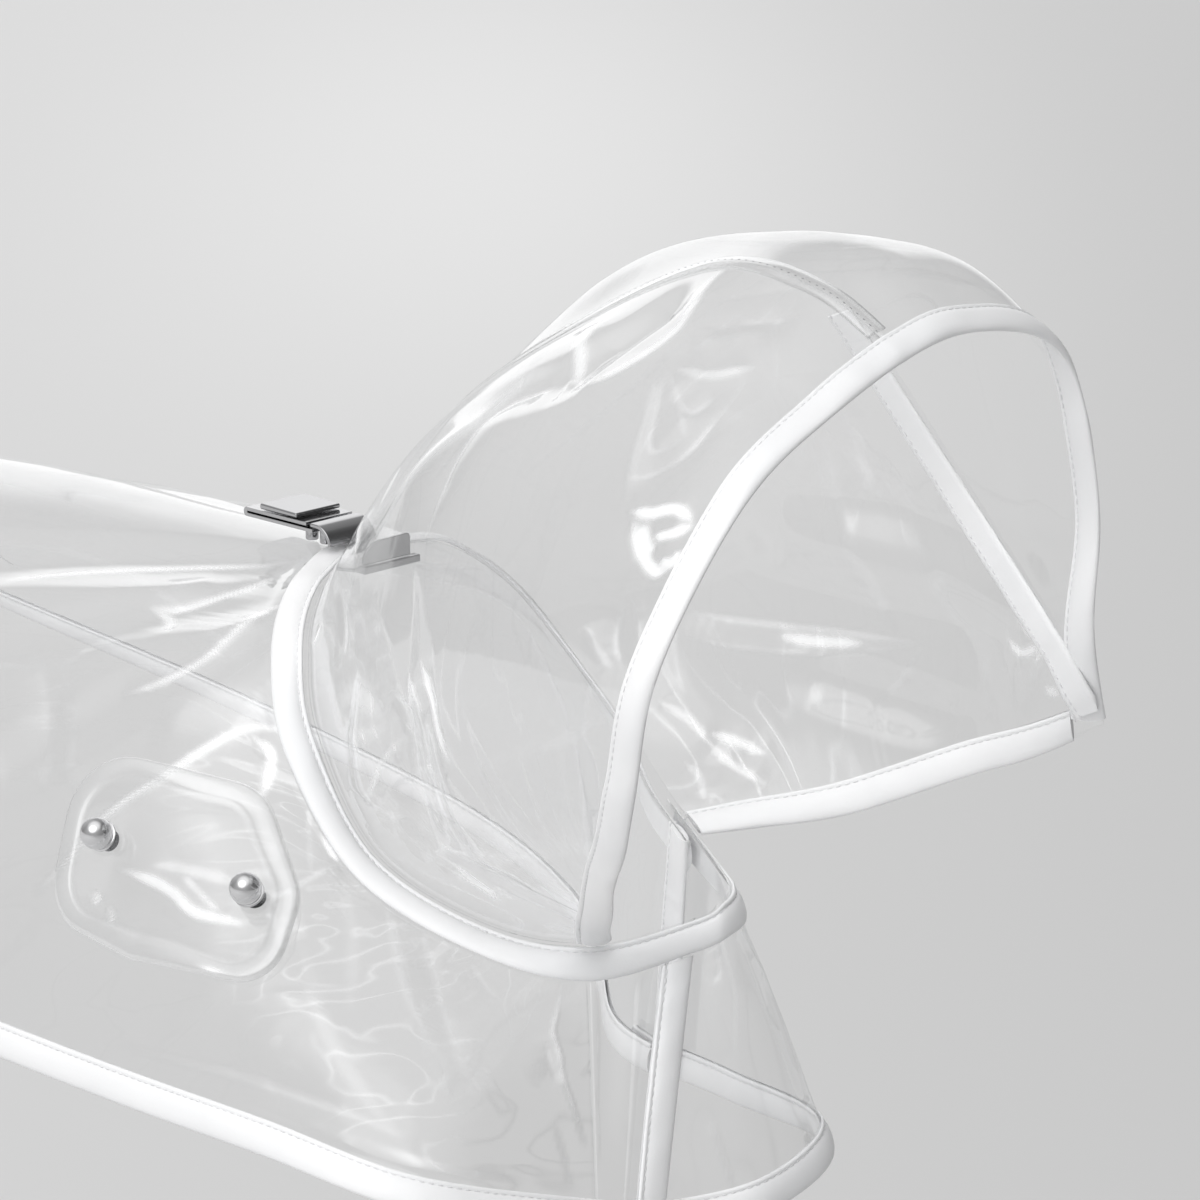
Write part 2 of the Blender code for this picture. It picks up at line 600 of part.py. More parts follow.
def add_patch(name, seat):
    """A thin moulded plate with a raised rim, resting a hair above the film."""
    outline = rounded_outline(PATCH_OUTLINE, PATCH_CORNER)
    count = len(outline)
    reach = np.linalg.norm(outline, axis=1)
    shares = {"edge": 1.0, "rim": 1.0 - 0.9 / reach, "foot": 1.0 - PATCH_RIM / reach,
              "plate": 1.0 - (PATCH_RIM + 1.2) / reach}
    top = [(shares["rim"], PATCH_RIM_HEIGHT), (shares["foot"], PATCH_RIM_HEIGHT), (shares["plate"], PATCH_PLATE)]
    top += [(shares["plate"] * part, PATCH_PLATE) for part in (0.7, 0.4)]
    bottom = [(np.full(count, part), 0.0) for part in (0.33, 0.56, 0.78, 1.0)]
    rings = [(np.array(share), height) for share, height in bottom]
    rings += [(np.full(count, 1.0), PATCH_RIM_HEIGHT - 0.6)] + top
    shape = bmesh.new()

    def vertex(flat, height):
        return shape.verts.new(Vector(seat.plate_at(flat[0], flat[1], height) * MM))

    verts = [[vertex(outline[k] * share[k], height) for k in range(count)] for share, height in rings]
    for here, there in zip(verts, verts[1:]):
        for k in range(count):
            shape.faces.new((here[k], here[(k + 1) % count], there[(k + 1) % count], there[k]))
    for ring, height in ((verts[0], 0.0), (verts[-1], PATCH_PLATE)):
        centre = vertex(np.zeros(2), height)
        for k in range(count):
            shape.faces.new((ring[k], ring[(k + 1) % count], centre))
    bmesh.ops.recalc_face_normals(shape, faces=shape.faces)
    mesh = bpy.data.meshes.new(name)
    shape.to_mesh(mesh)
    shape.free()
    add_object(name, mesh, "patch_film")


def turned(name, profile, steps, material):
    """A turned piece: the profile runs down its outer side and is spun by a Screw modifier."""
    mesh = bpy.data.meshes.new(name)
    points = [(radius * MM, 0.0, height * MM) for radius, height in profile]
    mesh.from_pydata(points, [(k, k + 1) for k in range(len(points) - 1)], [])
    thing = add_object(name, mesh, material)
    screw = thing.modifiers.new("turn", "SCREW")
    screw.steps = steps
    screw.render_steps = steps
    screw.use_merge_vertices = True
    screw.merge_threshold = 0.00001
    screw.use_smooth_shade = True
    return thing


def stand_on(thing, point, normal):
    thing.location = Vector(point * MM)
    thing.rotation_mode = "QUATERNION"
    thing.rotation_quaternion = Vector(normal).to_track_quat("Z", "Y")


def stud_profile():
    neck, flange, foot = 2.2, 5.6, 1.0
    centre = foot + 1.4 + STUD_BALL * 0.86
    low = math.asin(neck / STUD_BALL)
    arc = [(STUD_BALL * math.sin(a), centre + STUD_BALL * math.cos(a))
           for a in np.linspace(0.0, math.pi - low, 8)]
    arc[0] = (0.0, centre + STUD_BALL)
    return arc + [(neck, foot + 0.5), (flange - 0.5, foot), (flange, foot * 0.5), (flange, 0.0), (0.0, 0.0)]


def cap_profile():
    return [(0.0, 1.3), (0.52 * CAP_RADIUS, 1.1), (0.91 * CAP_RADIUS, 0.5), (CAP_RADIUS, 0.0), (0.0, 0.0)]


def add_patch_and_studs(wall):
    seat = Seat(surface_tree(wall))
    add_patch("patch_right", seat)
    for place, (a, b) in zip(("rear", "front"), STUD_PLACES):
        ball = turned("ball_stud_right_" + place, stud_profile(), 12, "polished_steel")
        stand_on(ball, seat.plate_at(a, b, PATCH_PLATE + GAP + 0.1), seat.plate_normal(a, b))
        point, normal = seat.film_at(a, b)
        around = np.linspace(0.0, 2 * math.pi, 12, endpoint=False)
        rim = [seat.film_at(a + CAP_RADIUS * math.cos(k), b + CAP_RADIUS * math.sin(k))[0] for k in around]
        dip = max(0.0, *((point - spot) @ normal for spot in rim))
        cap = turned("stud_cap_right_" + place, cap_profile(), 12, "polished_steel")
        stand_on(cap, point - normal * (FILM + GAP + dip + 0.1), -normal)


# ---------------------------------------------------------------- nape clasp

def outline_solid(name, outline, y_low, y_high, material="polished_steel"):
    """A plate bent or stamped to one side outline (x, z), as wide as it says in y."""
    rings = [[np.array((x, y, z), float) for x, z in outline] for y in (y_low, y_high)]
    shape = bmesh.new()
    verts = [[shape.verts.new(Vector(point * MM)) for point in ring] for ring in rings]
    count = len(outline)
    for k in range(count):
        shape.faces.new((verts[0][k], verts[0][(k + 1) % count], verts[1][(k + 1) % count], verts[1][k]))
    shape.faces.new(verts[0])
    shape.faces.new(verts[1][::-1])
    bmesh.ops.recalc_face_normals(shape, faces=shape.faces)
    mesh = bpy.data.meshes.new(name)
    shape.to_mesh(mesh)
    shape.free()
    thing = add_object(name, mesh, material)
    bevel = thing.modifiers.new("eased edges", "BEVEL")
    bevel.width = 0.2 * MM
    bevel.segments = 1
    bevel.limit_method = "ANGLE"
    return thing


def build_clasp(wall):
    tree = surface_tree(wall)
    half = CLASP_WIDTH / 2
    low, high = CLASP_X
    z0 = CLASP_LEVEL
    z1 = z0 + CLASP_SHEET
    z2 = z1 + 0.7
    z3 = z2 + CLASP_SHEET
    base = [(low + 1.2, z0), (high, z0), (high, z1), (low + 2.4, z1), (low + 2.0, z1 + 0.35), (low + 2.4, z2),
            (high - 3.0, z2), (high - 3.0, z3), (low + 1.2, z3), (low + 0.3, z3 - 0.7), (low, z2 - 0.3),
            (low + 0.3, z0 + 0.7)]
    outline_solid("clasp_base", base, -half, half)
    tile_low, tile_high = low + 7.0, low + 26.0
    tile = [(tile_low, z3 + GAP), (tile_high, z3 + GAP), (tile_high, z3 + 2.6), (tile_low, z3 + 2.6)]
    outline_solid("clasp_tile", tile, -half + 1.0, half - 1.0)
    turn, sheet = 7.5, 1.6
    centre_x, centre_z = high + 0.6, z3 - turn
    outer = [(centre_x + turn * math.sin(a), centre_z + turn * math.cos(a)) for a in np.linspace(0, 1.5, 7)]
    inner = [(centre_x + (turn - sheet) * math.sin(a), centre_z + (turn - sheet) * math.cos(a))
             for a in np.linspace(1.5, 0, 7)]
    outline_solid("clasp_roll", [(centre_x - 6.0 + 4.2, centre_z + turn)] + outer + inner
                  + [(centre_x - 6.0 + 4.2, centre_z + turn - sheet)], -half, half)
    plate = [(-10.0, -3.95), (20.6, -3.95), (20.6, 1.0), (20.0, 8.6), (18.8, 9.4), (17.6, 8.6), (17.6, -1.25),
             (-10.0, -2.75)]
    outline_solid("clasp_inner", plate, -11.5, 13.0)
    for name, x in (("clasp_post_rear", -18.5), ("clasp_post_front", -11.5)):
        around = [(x + POST_RADIUS * math.cos(k), POST_RADIUS * math.sin(k)) for k in np.linspace(0, 6, 13)]
        feet = [tree.ray_cast(Vector((*spot, 30.0)), Vector((0.0, 0.0, -1.0)))[0][2] for spot in around]
        top, foot = z0 - GAP, max(feet) + GAP + 0.1
        profile = [(0.0, top), (POST_RADIUS, top), (POST_RADIUS, foot), (0.0, foot)]
        post = turned(name, profile, 12, "polished_steel")
        post.location = Vector((x * MM, 0.0, 0.0))


def build():
    build_hood()
    walls = build_body()
    add_patch_and_studs(walls["back_panel"])
    build_clasp(walls["back_panel"])


clear_scene()
GARMENT = new_collection("hooded_dog_windbreaker")
MATERIALS = {name: make_material(name) for name in COLOURS}
build()
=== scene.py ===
import math
import bmesh
import bpy
import numpy as np
from mathutils import Matrix, Vector
from mathutils.bvhtree import BVHTree


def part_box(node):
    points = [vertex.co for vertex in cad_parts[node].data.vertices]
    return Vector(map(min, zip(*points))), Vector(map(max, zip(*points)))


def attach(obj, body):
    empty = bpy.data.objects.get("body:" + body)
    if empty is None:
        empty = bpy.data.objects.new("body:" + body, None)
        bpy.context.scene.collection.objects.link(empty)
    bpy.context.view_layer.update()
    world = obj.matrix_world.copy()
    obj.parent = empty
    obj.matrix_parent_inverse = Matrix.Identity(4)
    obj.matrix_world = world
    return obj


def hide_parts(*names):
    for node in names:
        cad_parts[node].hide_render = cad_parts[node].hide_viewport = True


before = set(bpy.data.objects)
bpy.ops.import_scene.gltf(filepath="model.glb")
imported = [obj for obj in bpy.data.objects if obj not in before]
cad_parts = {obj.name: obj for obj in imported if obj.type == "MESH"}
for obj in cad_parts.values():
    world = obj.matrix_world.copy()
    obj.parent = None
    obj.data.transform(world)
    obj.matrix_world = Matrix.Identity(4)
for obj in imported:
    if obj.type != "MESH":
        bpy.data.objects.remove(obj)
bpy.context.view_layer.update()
print("frame loaded,", len(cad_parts), "solids")

mm = 0.001  # every table below is in millimetres

# camera at the photo's angle: the dog's right front, a little above
view = {"azimuth": 45.0, "elevation": 15.0, "distance": 2200.0, "lens": 198.0, "sensor": 36.0, "clipEnd": 60.0,
        "target": (61.7, 56.2, -14.5), "photo": 1200}


def placed(name, data):
    thing = bpy.data.objects.new(name, data)
    bpy.context.scene.collection.objects.link(thing)
    return thing


def viewAxes():
    a, e = math.radians(view["azimuth"]), math.radians(view["elevation"])
    right = Vector((math.cos(a), math.sin(a), 0))
    back = Vector((math.sin(a) * math.cos(e), -math.cos(a) * math.cos(e), math.sin(e)))
    return right, back.cross(right), back


def placeCamera():
    right, up, back = viewAxes()
    camera = placed("camera", bpy.data.cameras.new("camera"))
    camera.data.lens = view["lens"]
    camera.data.sensor_width = view["sensor"]
    camera.data.clip_end = view["clipEnd"]
    turn = Matrix((right, up, back)).transposed().to_4x4()
    camera.matrix_world = Matrix.Translation((Vector(view["target"]) + back * view["distance"]) * mm) @ turn
    bpy.context.scene.camera = camera


def sightLine(x, y):
    # from the camera through a point of the photograph
    right, up, back = viewAxes()
    reach, middle = view["photo"] * view["lens"] / view["sensor"], view["photo"] / 2
    way = right * ((x - middle) / reach) + up * ((middle - y) / reach) - back
    return Vector(view["target"]) + back * view["distance"], way.normalized()


placeCamera()


def newNode(tree, kind, feeds=None, **settings):
    # a node with its settings, each named input linked to another node's output or given a value
    node = tree.nodes.new(kind)
    for label, value in settings.items():
        setattr(node, label, value)
    for label, value in (feeds or {}).items():
        if hasattr(value, "is_output"):
            tree.links.new(value, node.inputs[label])
        else:
            node.inputs[label].default_value = value
    return node


def newMaterial(name):
    material = bpy.data.materials.new(name)
    material.use_nodes = True
    material.node_tree.nodes.clear()
    return material, material.node_tree


def surface(tree, feeds):
    shader = newNode(tree, "ShaderNodeBsdfPrincipled", feeds)
    newNode(tree, "ShaderNodeOutputMaterial", {"Surface": shader.outputs[0]})


def mathNode(tree, kind, *values, clamp=False):
    return newNode(tree, "ShaderNodeMath", dict(enumerate(values)), operation=kind, use_clamp=clamp).outputs[0]


def noiseNode(tree, vector, scale, detail=2.0, rough=0.5, warp=0.0):
    feeds = {"Vector": vector, "Scale": scale, "Detail": detail, "Roughness": rough, "Distortion": warp}
    return newNode(tree, "ShaderNodeTexNoise", feeds).outputs["Fac"]


def dotNode(tree, first, second):
    return newNode(tree, "ShaderNodeVectorMath", {0: first, 1: second}, operation="DOT_PRODUCT").outputs["Value"]


def bumped(tree, height, distance=1.0):
    return newNode(tree, "ShaderNodeBump", {"Distance": distance, "Height": height}).outputs["Normal"]


def objectPlace(tree):
    return newNode(tree, "ShaderNodeTexCoord").outputs["Object"]


filmLook = {"tone": (0.97, 0.975, 0.98, 1), "edgePower": 3.0, "edgeShine": 0.85, "creaseShine": 0.8, "rough": 0.08,
            "creaseRough": 0.3, "waveScale": 17.0, "drapeScale": 40.0, "drapeStretch": (1.0, 0.3, 1.0),
            "drapeWarp": 1.4, "lineSharpness": 20.0, "linePower": 1.6, "lineWhiteAndHighlight": 0.5}


def crinkleGroup():
    # waviness of a plastic film, and its fine drape lines along the V of its UV map
    group = bpy.data.node_groups.new("film crinkle", "ShaderNodeTree")
    for name, flow, kind in (("Place", "INPUT", "Vector"), ("Map", "INPUT", "Vector"),
                             ("Wave Height", "INPUT", "Float"), ("Line Height", "INPUT", "Float"),
                             ("Crinkle", "INPUT", "Float"), ("Height", "OUTPUT", "Float"),
                             ("Lines", "OUTPUT", "Float")):
        group.interface.new_socket(name, in_out=flow, socket_type="NodeSocket" + kind)
    start = newNode(group, "NodeGroupInput").outputs
    wave = noiseNode(group, start["Place"], filmLook["waveScale"], 1.0, 0.4)
    stretch = newNode(group, "ShaderNodeMapping", {"Scale": filmLook["drapeStretch"], "Vector": start["Map"]})
    drape = noiseNode(group, stretch.outputs["Vector"], filmLook["drapeScale"], 1.0, 0.5, filmLook["drapeWarp"])
    apart = mathNode(group, "ABSOLUTE", mathNode(group, "SUBTRACT", drape, 0.5))
    line = mathNode(group, "SUBTRACT", 1.0, mathNode(group, "MULTIPLY", apart, filmLook["lineSharpness"]), clamp=True)
    line = mathNode(group, "MULTIPLY", mathNode(group, "POWER", line, filmLook["linePower"]), start["Crinkle"])
    low = mathNode(group, "MULTIPLY", wave, start["Wave Height"])
    soft = mathNode(group, "MULTIPLY", mathNode(group, "MULTIPLY", drape, start["Crinkle"]), start["Line Height"])
    newNode(group, "NodeGroupOutput", {"Height": mathNode(group, "ADD", low, soft), "Lines": line})
    return group


def filmMaterial(name, crinkle, gloss, waveHeight, lineHeight, mapped=True):
    # clear gloss film: a mirror as thin as its reflection, so what lies behind shows through
    material, tree = newMaterial(name)
    place = newNode(tree, "ShaderNodeTexCoord").outputs
    paleAndHighlight, crush = (newNode(tree, "ShaderNodeAttribute", attribute_name=mark).outputs["Fac"]
                     for mark in ("paleAndHighlight", "crinkle"))
    height = newNode(tree, "ShaderNodeGroup", {
        "Wave Height": waveHeight, "Line Height": lineHeight, "Crinkle": crush, "Place": place["Object"],
        "Map": place["UV" if mapped else "Object"]}, node_tree=crinkle).outputs
    normal = bumped(tree, height["Height"])
    facing = newNode(tree, "ShaderNodeLayerWeight", {"Blend": 0.5, "Normal": normal}).outputs["Facing"]
    edge = mathNode(tree, "MULTIPLY", mathNode(tree, "POWER", facing, filmLook["edgePower"]), filmLook["edgeShine"])
    # the crease mark and the drape lines turn the film white and opaque: partly stress whitening, partly painted
    # highlight streaks
    line = mathNode(tree, "MULTIPLY", height["Lines"], filmLook["lineWhiteAndHighlight"])
    pale = mathNode(tree, "ADD", paleAndHighlight, line, clamp=True)
    shine = mathNode(tree, "MULTIPLY", pale, filmLook["creaseShine"])
    surface(tree, {
        "Base Color": filmLook["tone"], "Normal": normal,
        "Alpha": mathNode(tree, "ADD", mathNode(tree, "ADD", edge, gloss), shine, clamp=True),
        "Metallic": mathNode(tree, "SUBTRACT", 1.0, pale, clamp=True),
        "Roughness": mathNode(tree, "MULTIPLY_ADD", pale, filmLook["creaseRough"], filmLook["rough"])})
    return material


tapeLook = {"tones": ((0.3, (0.78, 0.785, 0.795, 1)), (0.7, (0.86, 0.86, 0.865, 1))), "grainHeight": 0.00004,
            "puckerHeight": 0.0007, "rough": 0.3, "grainRough": 0.16, "shine": 0.45}


def tapeMaterial():
    # white satin binding: fine grain along the tape and small puckers at the stitch line
    material, tree = newMaterial("white binding")
    uv = newNode(tree, "ShaderNodeUVMap", uv_map="UVMap").outputs["UV"]
    grain, pucker = noiseNode(tree, uv, 900.0, 2.0), noiseNode(tree, uv, 55.0, 1.0)
    height = mathNode(tree, "ADD", mathNode(tree, "MULTIPLY", grain, tapeLook["grainHeight"]),
                      mathNode(tree, "MULTIPLY", pucker, tapeLook["puckerHeight"]))
    ramp = newNode(tree, "ShaderNodeValToRGB", {"Fac": noiseNode(tree, objectPlace(tree), 12.0, 2.0)})
    for k, (place, colour) in enumerate(tapeLook["tones"]):
        ramp.color_ramp.elements[k].position = place
        ramp.color_ramp.elements[k].color = colour
    surface(tree, {
        "Base Color": ramp.outputs["Color"], "Normal": bumped(tree, height), "Specular IOR Level": tapeLook["shine"],
        "Roughness": mathNode(tree, "MULTIPLY_ADD", grain, tapeLook["grainRough"], tapeLook["rough"])})
    return material


def threadMaterial(name, colour):
    material, tree = newMaterial(name)
    ply = noiseNode(tree, objectPlace(tree), 2500.0, 1.0)
    surface(tree, {"Base Color": (*colour, 1), "Roughness": 0.6, "Normal": bumped(tree, ply, 0.0001)})
    return material


def steelMaterial(name, tone):
    # polished metal with faint wipe marks
    material, tree = newMaterial(name)
    stretch = newNode(tree, "ShaderNodeMapping", {"Scale": (1.0, 14.0, 1.0), "Vector": objectPlace(tree)})
    wipe = noiseNode(tree, stretch.outputs["Vector"], 260.0, 4.0, 0.6)
    surface(tree, {"Base Color": (tone, tone, tone + 0.01, 1), "Metallic": 1.0,
                   "Roughness": mathNode(tree, "MULTIPLY_ADD", wipe, 0.14, 0.08)})
    return material


crinkle = crinkleGroup()
looks = {  # for film: gloss seen square on, then the height of its waves and of its fine lines
    "film": filmMaterial("clear film", crinkle, 0.07, 0.0011, 0.0009),
    "seamFilm": filmMaterial("seam film", crinkle, 0.14, 0.001, 0.0002, False),
    "patch": filmMaterial("patch film", crinkle, 0.04, 0.003, 0.0, False),
    "tape": tapeMaterial(),
    # thread toned a little greyer than the tape: painted shade along the stitch lines
    "thread": threadMaterial("white thread in painted shade", (0.72, 0.72, 0.73)),
    # needle holes: dark beads, painted shade in each hole
    "hole": threadMaterial("needle hole shade", (0.2, 0.2, 0.21)),
    "steel": steelMaterial("polished steel", 0.52),
    "ball": steelMaterial("bright steel", 0.74),
}
print("materials made")


def smoothAt(rows, places, closed=False):
    rows = np.asarray(rows, float)
    places = np.asarray(places, float)
    count = len(rows)
    if closed:
        start = np.floor(places).astype(int)
        a, b, c, d = (rows[(start + k) % count] for k in (-1, 0, 1, 2))
    else:
        places = np.clip(places, 0, count - 1)
        start = np.minimum(np.floor(places).astype(int), count - 2)
        longer = np.concatenate(([2 * rows[0] - rows[1]], rows, [2 * rows[-1] - rows[-2]]))
        a, b, c, d = (longer[start + 1 + k] for k in (-1, 0, 1, 2))
    part = (places - start).reshape(-1, *[1] * (rows.ndim - 1))
    return 0.5 * (2 * b + (c - a) * part + (2 * a - 5 * b + 4 * c - d) * part ** 2
                  + (3 * b - 3 * c + d - a) * part ** 3)


def reachOf(line):
    return np.concatenate(([0.0], np.cumsum(np.linalg.norm(np.diff(line, axis=0), axis=1))))


def onLine(line, marks, reach=None):
    reach = reachOf(line) if reach is None else reach
    return np.stack([np.interp(marks, reach, line[:, k]) for k in range(line.shape[1])], axis=1)


def evenLine(line, cells, first=(), last=(), lean=0.0):
    # first and last are the lengths of the cells at either end; lean packs the others towards the start
    reach = reachOf(line)
    head = np.concatenate(([0.0], np.cumsum(first)))
    tail = (reach[-1] - np.concatenate(([0.0], np.cumsum(last))))[::-1]
    share = np.linspace(0.0, 1.0, cells + 1 - len(first) - len(last))
    middle = head[-1] + (tail[0] - head[-1]) * ((1 - lean) * share + lean * share ** 2)
    return onLine(line, np.concatenate((head[:-1], middle, tail[1:])), reach)


def evenGrid(dense, uCells, vCells, uEnds=((), ()), vEnds=((), ()), lean=0.0):
    down = np.stack([evenLine(line, vCells, *vEnds) for line in dense])
    return np.stack([evenLine(down[:, j], uCells, *uEnds, lean) for j in range(vCells + 1)], axis=1)


def unit(rows):
    return rows / np.linalg.norm(rows, axis=-1, keepdims=True)


def gridNormals(grid, side):
    face = np.cross(np.gradient(grid, axis=0), np.gradient(grid, axis=1)) * side
    return face / np.maximum(np.linalg.norm(face, axis=2, keepdims=True), 1e-9)


def foldDepth(grid, panel):
    # the soft folds that the solids have too
    depth = np.zeros(grid.shape[:2])
    for start, end, width, fold in bigFolds[panel]:
        start = np.array(start, float)
        run = np.array(end, float) - start
        along = np.clip(((grid - start) @ run) / (run @ run), 0.0, 1.0)
        away = np.linalg.norm(grid - start - along[..., None] * run, axis=-1) / width
        depth += fold * np.clip(1.0 - away ** 2, 0.0, None) ** 2 * (0.35 + 0.65 * np.sin(math.pi * along) ** 0.5)
    return depth


# the garment's cut, as worn
cut = {"film": 1.0, "shownFilm": 0.4, "seam": 0.35, "hoodStart": 1.2, "underlap": 4.0, "lapWidth": 0.55,
       "lapFade": 1.3, "rightSeam": 1.0, "leftEdge": 14.0, "chestEnd": 18.0}
tapeCells = (2.75, 2.75, 2.75, 2.75)
collarCells = (3.0, 3.0, 3.0, 3.0)

# neck point, hem point, carry and drop of each rib, from the centre front round the right side
ribs = (
    ((166, -5, -88), (191, -46, -178), 0.50, 0.45),
    ((151, -39, -93), (187, -70, -172), 0.50, 0.45),
    ((121, -57, -89), (160, -124, -157), 0.66, 0.38),
    ((82, -67, -72), (104, -138, -149), 0.76, 0.32),
    ((52, -64, -39), (28, -141, -147), 0.78, 0.26),
    ((37, -54, -15), (-70, -142, -143), 0.76, 0.22),
    ((20, -34, -5), (-205, -139, -134), 0.74, 0.17),
    ((9, -15, -1), (-375, -104, -92), 0.70, 0.10),
    ((4, 0, 1), (-420, 0, -26), 0.50, -0.28),
    ((9, 13, 2), (-375, 104, -88), 0.70, 0.10),
    ((18, 28, 2), (-215, 135, -122), 0.74, 0.16),
    ((31, 43, -11), (-85, 132, -140), 0.76, 0.22),
    ((50, 50, -31), (-10, 114, -153), 0.78, 0.28),
    ((82, 48, -54), (40, 80, -162), 0.70, 0.36),
    ((110, 40, -70), (84, 50, -166), 0.50, 0.45),
    ((142, 30, -83), (138, 41, -167), 0.50, 0.45),
    ((161, 16, -83), (192, 32, -168), 0.50, 0.48),
    ((168, 5, -84), (203, -8, -176), 0.50, 0.48),
)
# crown, ridge, roof, side, low and base points of each section of the hood
hoodRight = (
    ((50, 0, 57), (54, -26, 47), (62, -48, 29), (86, -76, -8), (121, -76, -55), (166, -45, -84)),
    ((108, 0, 96), (110, -31, 86), (116, -64, 62), (137, -95, 10), (158, -90, -38), (184, -62, -71)),
    ((168, 0, 125), (171, -38, 104), (179, -71, 78), (186, -103, 24), (194, -100, -18), (203, -81, -54)),
    ((212, 0, 124), (214, -35, 106), (217, -72, 80), (216, -105, 27), (215, -103, -13), (211, -87, -46)),
    ((248, 0, 108), (249, -31, 97), (250, -71, 77), (246, -105, 30), (236, -104, -8), (220, -93, -37)),
)
hoodLeft = (
    ((50, 0, 57), (53, 23, 64), (61, 48, 48), (84, 72, -2), (108, 66, -40), (140, 50, -75)),
    ((108, 0, 96), (108, 31, 113), (115, 67, 89), (134, 89, 28), (148, 82, -22), (164, 68, -69)),
    ((168, 0, 125), (170, 32, 131), (178, 70, 112), (184, 96, 42), (190, 93, -10), (198, 88, -53)),
    ((212, 0, 124), (214, 34, 131), (219, 70, 115), (220, 94, 45), (220, 91, -3), (221, 94, -43)),
    ((248, 0, 108), (248, 30, 112), (250, 72, 99), (250, 90, 46), (248, 90, 6), (243, 103, -30)),
)
hoodNeckRight = (8.0, 6.7, 5.6, 4.3, 2.8, 0.8)
hoodNeckLeft = (8.0, 9.1, 10.4, 11.8, 13.0, 14.5)

# the largest folds of each panel: start, end, width, depth
bigFolds = {
    "hoodRight": (
        ((60, -30, 36), (150, -45, 90), 16, 3.0),
        ((150, -45, 92), (166, -18, 112), 14, 4.0),
        ((118, -90, -10), (112, -82, -62), 17, 3.5),
        ((148, -100, -5), (143, -85, -62), 15, -3.0),
        ((92, -80, -14), (84, -74, -52), 14, -3.0),
    ),
    "hoodLeft": (
        ((118, 84, 14), (214, 98, 10), 18, 4.5),
        ((140, 80, -30), (190, 92, -38), 14, -3.5),
        ((60, 40, 42), (140, 70, 88), 18, 3.0),
    ),
    "back": (
        ((-6, -20, -4), (-165, -62, -22), 20, 4.0),
        ((4, -36, -10), (-110, -92, -46), 20, 4.0),
        ((20, -54, -22), (-52, -112, -62), 18, 3.5),
        ((-6, 20, -4), (-165, 62, -22), 20, 4.0),
        ((4, 36, -10), (-110, 92, -46), 20, 4.0),
        ((78, -84, -84), (62, -128, -128), 16, -2.0),
        ((-280, -90, -50), (-300, -112, -86), 24, 4.0),
        ((-280, 90, -50), (-310, 110, -80), 24, 4.0),
    ),
    "chest": (
        ((176, 22, -104), (192, 26, -150), 12, 3.0),
    ),
    "frontRight": (
        ((160, -40, -112), (176, -58, -150), 10, 2.0),
    ),
}

neckPoints = np.array([row[0] for row in ribs], float)
hemPoints = np.array([row[1] for row in ribs], float)
bowPoints = np.array([(*(np.array(neck[:2]) * (1 - carry) + np.array(hem[:2]) * carry),
                       neck[2] * (1 - drop) + hem[2] * drop) for neck, hem, carry, drop in ribs], float)


def ribSheet(places, count=60):
    neck, bow, hem = (smoothAt(points, places, True)[:, None] for points in (neckPoints, bowPoints, hemPoints))
    t = np.linspace(0.0, 1.0, count)[None, :, None]
    return (1 - t) ** 2 * neck + 2 * t * (1 - t) * bow + t ** 2 * hem


def bodyGrid(start, end, uCells, vCells, uEnds, under=None, lean=0.0):
    places = np.linspace(start, end, int(abs(end - start) * 24) + 24)
    dense = ribSheet(places)
    if under is not None:
        away = np.clip((under - places) / cut["lapFade"], 0.0, 1.0)
        sink = cut["underlap"] * (1 - away ** 2 * (3 - 2 * away))
        dense = dense - gridNormals(dense, 1) * sink[:, None, None]
    return evenGrid(dense, uCells, vCells, uEnds, (collarCells, tapeCells), lean)


def hoodGrid(sections, neckRibs, uCells, vCells, vEnds, way, count=150):
    lattice = np.array([smoothAt(neckPoints, neckRibs, True)] + [np.array(row, float) for row in sections])
    across = np.linspace(0.0, 1.0, count)
    down = np.stack([smoothAt(row, across * (lattice.shape[1] - 1)) for row in lattice])
    dense = smoothAt(down, across * (lattice.shape[0] - 1))
    ring = smoothAt(neckPoints, smoothAt(np.array(neckRibs)[:, None], across * (len(neckRibs) - 1))[:, 0], True)
    dense = dense + ((1 - across) ** 3)[:, None, None] * (ring - dense[0])[None]
    grid = evenGrid(dense, uCells, vCells, ((2.0, 2.0), tapeCells), vEnds)
    step = grid[1] - grid[0]
    grid[0] += step / np.linalg.norm(step, axis=1, keepdims=True) * cut["hoodStart"]
    grid[:, 0, 1] = way * cut["seam"]
    return grid


# the straight tape inside the left half of the hood, by points through the photograph
seamTape = {"seen": ((841, 311), (1092, 706)), "width": 11.0, "lift": 0.7, "thick": 1.3,
            "stations": 90, "climb": 2.3,
            "climbs": (0.86, 0.96), "across": (-0.5, -0.42, -0.3, 0.0, 0.3, 0.42, 0.5),
            "crown": (0.35, 0.9, 1.0, 1.0, 1.0, 0.9, 0.35), "stitch": 4, "stitchLift": 0.05, "centreTop": 40.0}
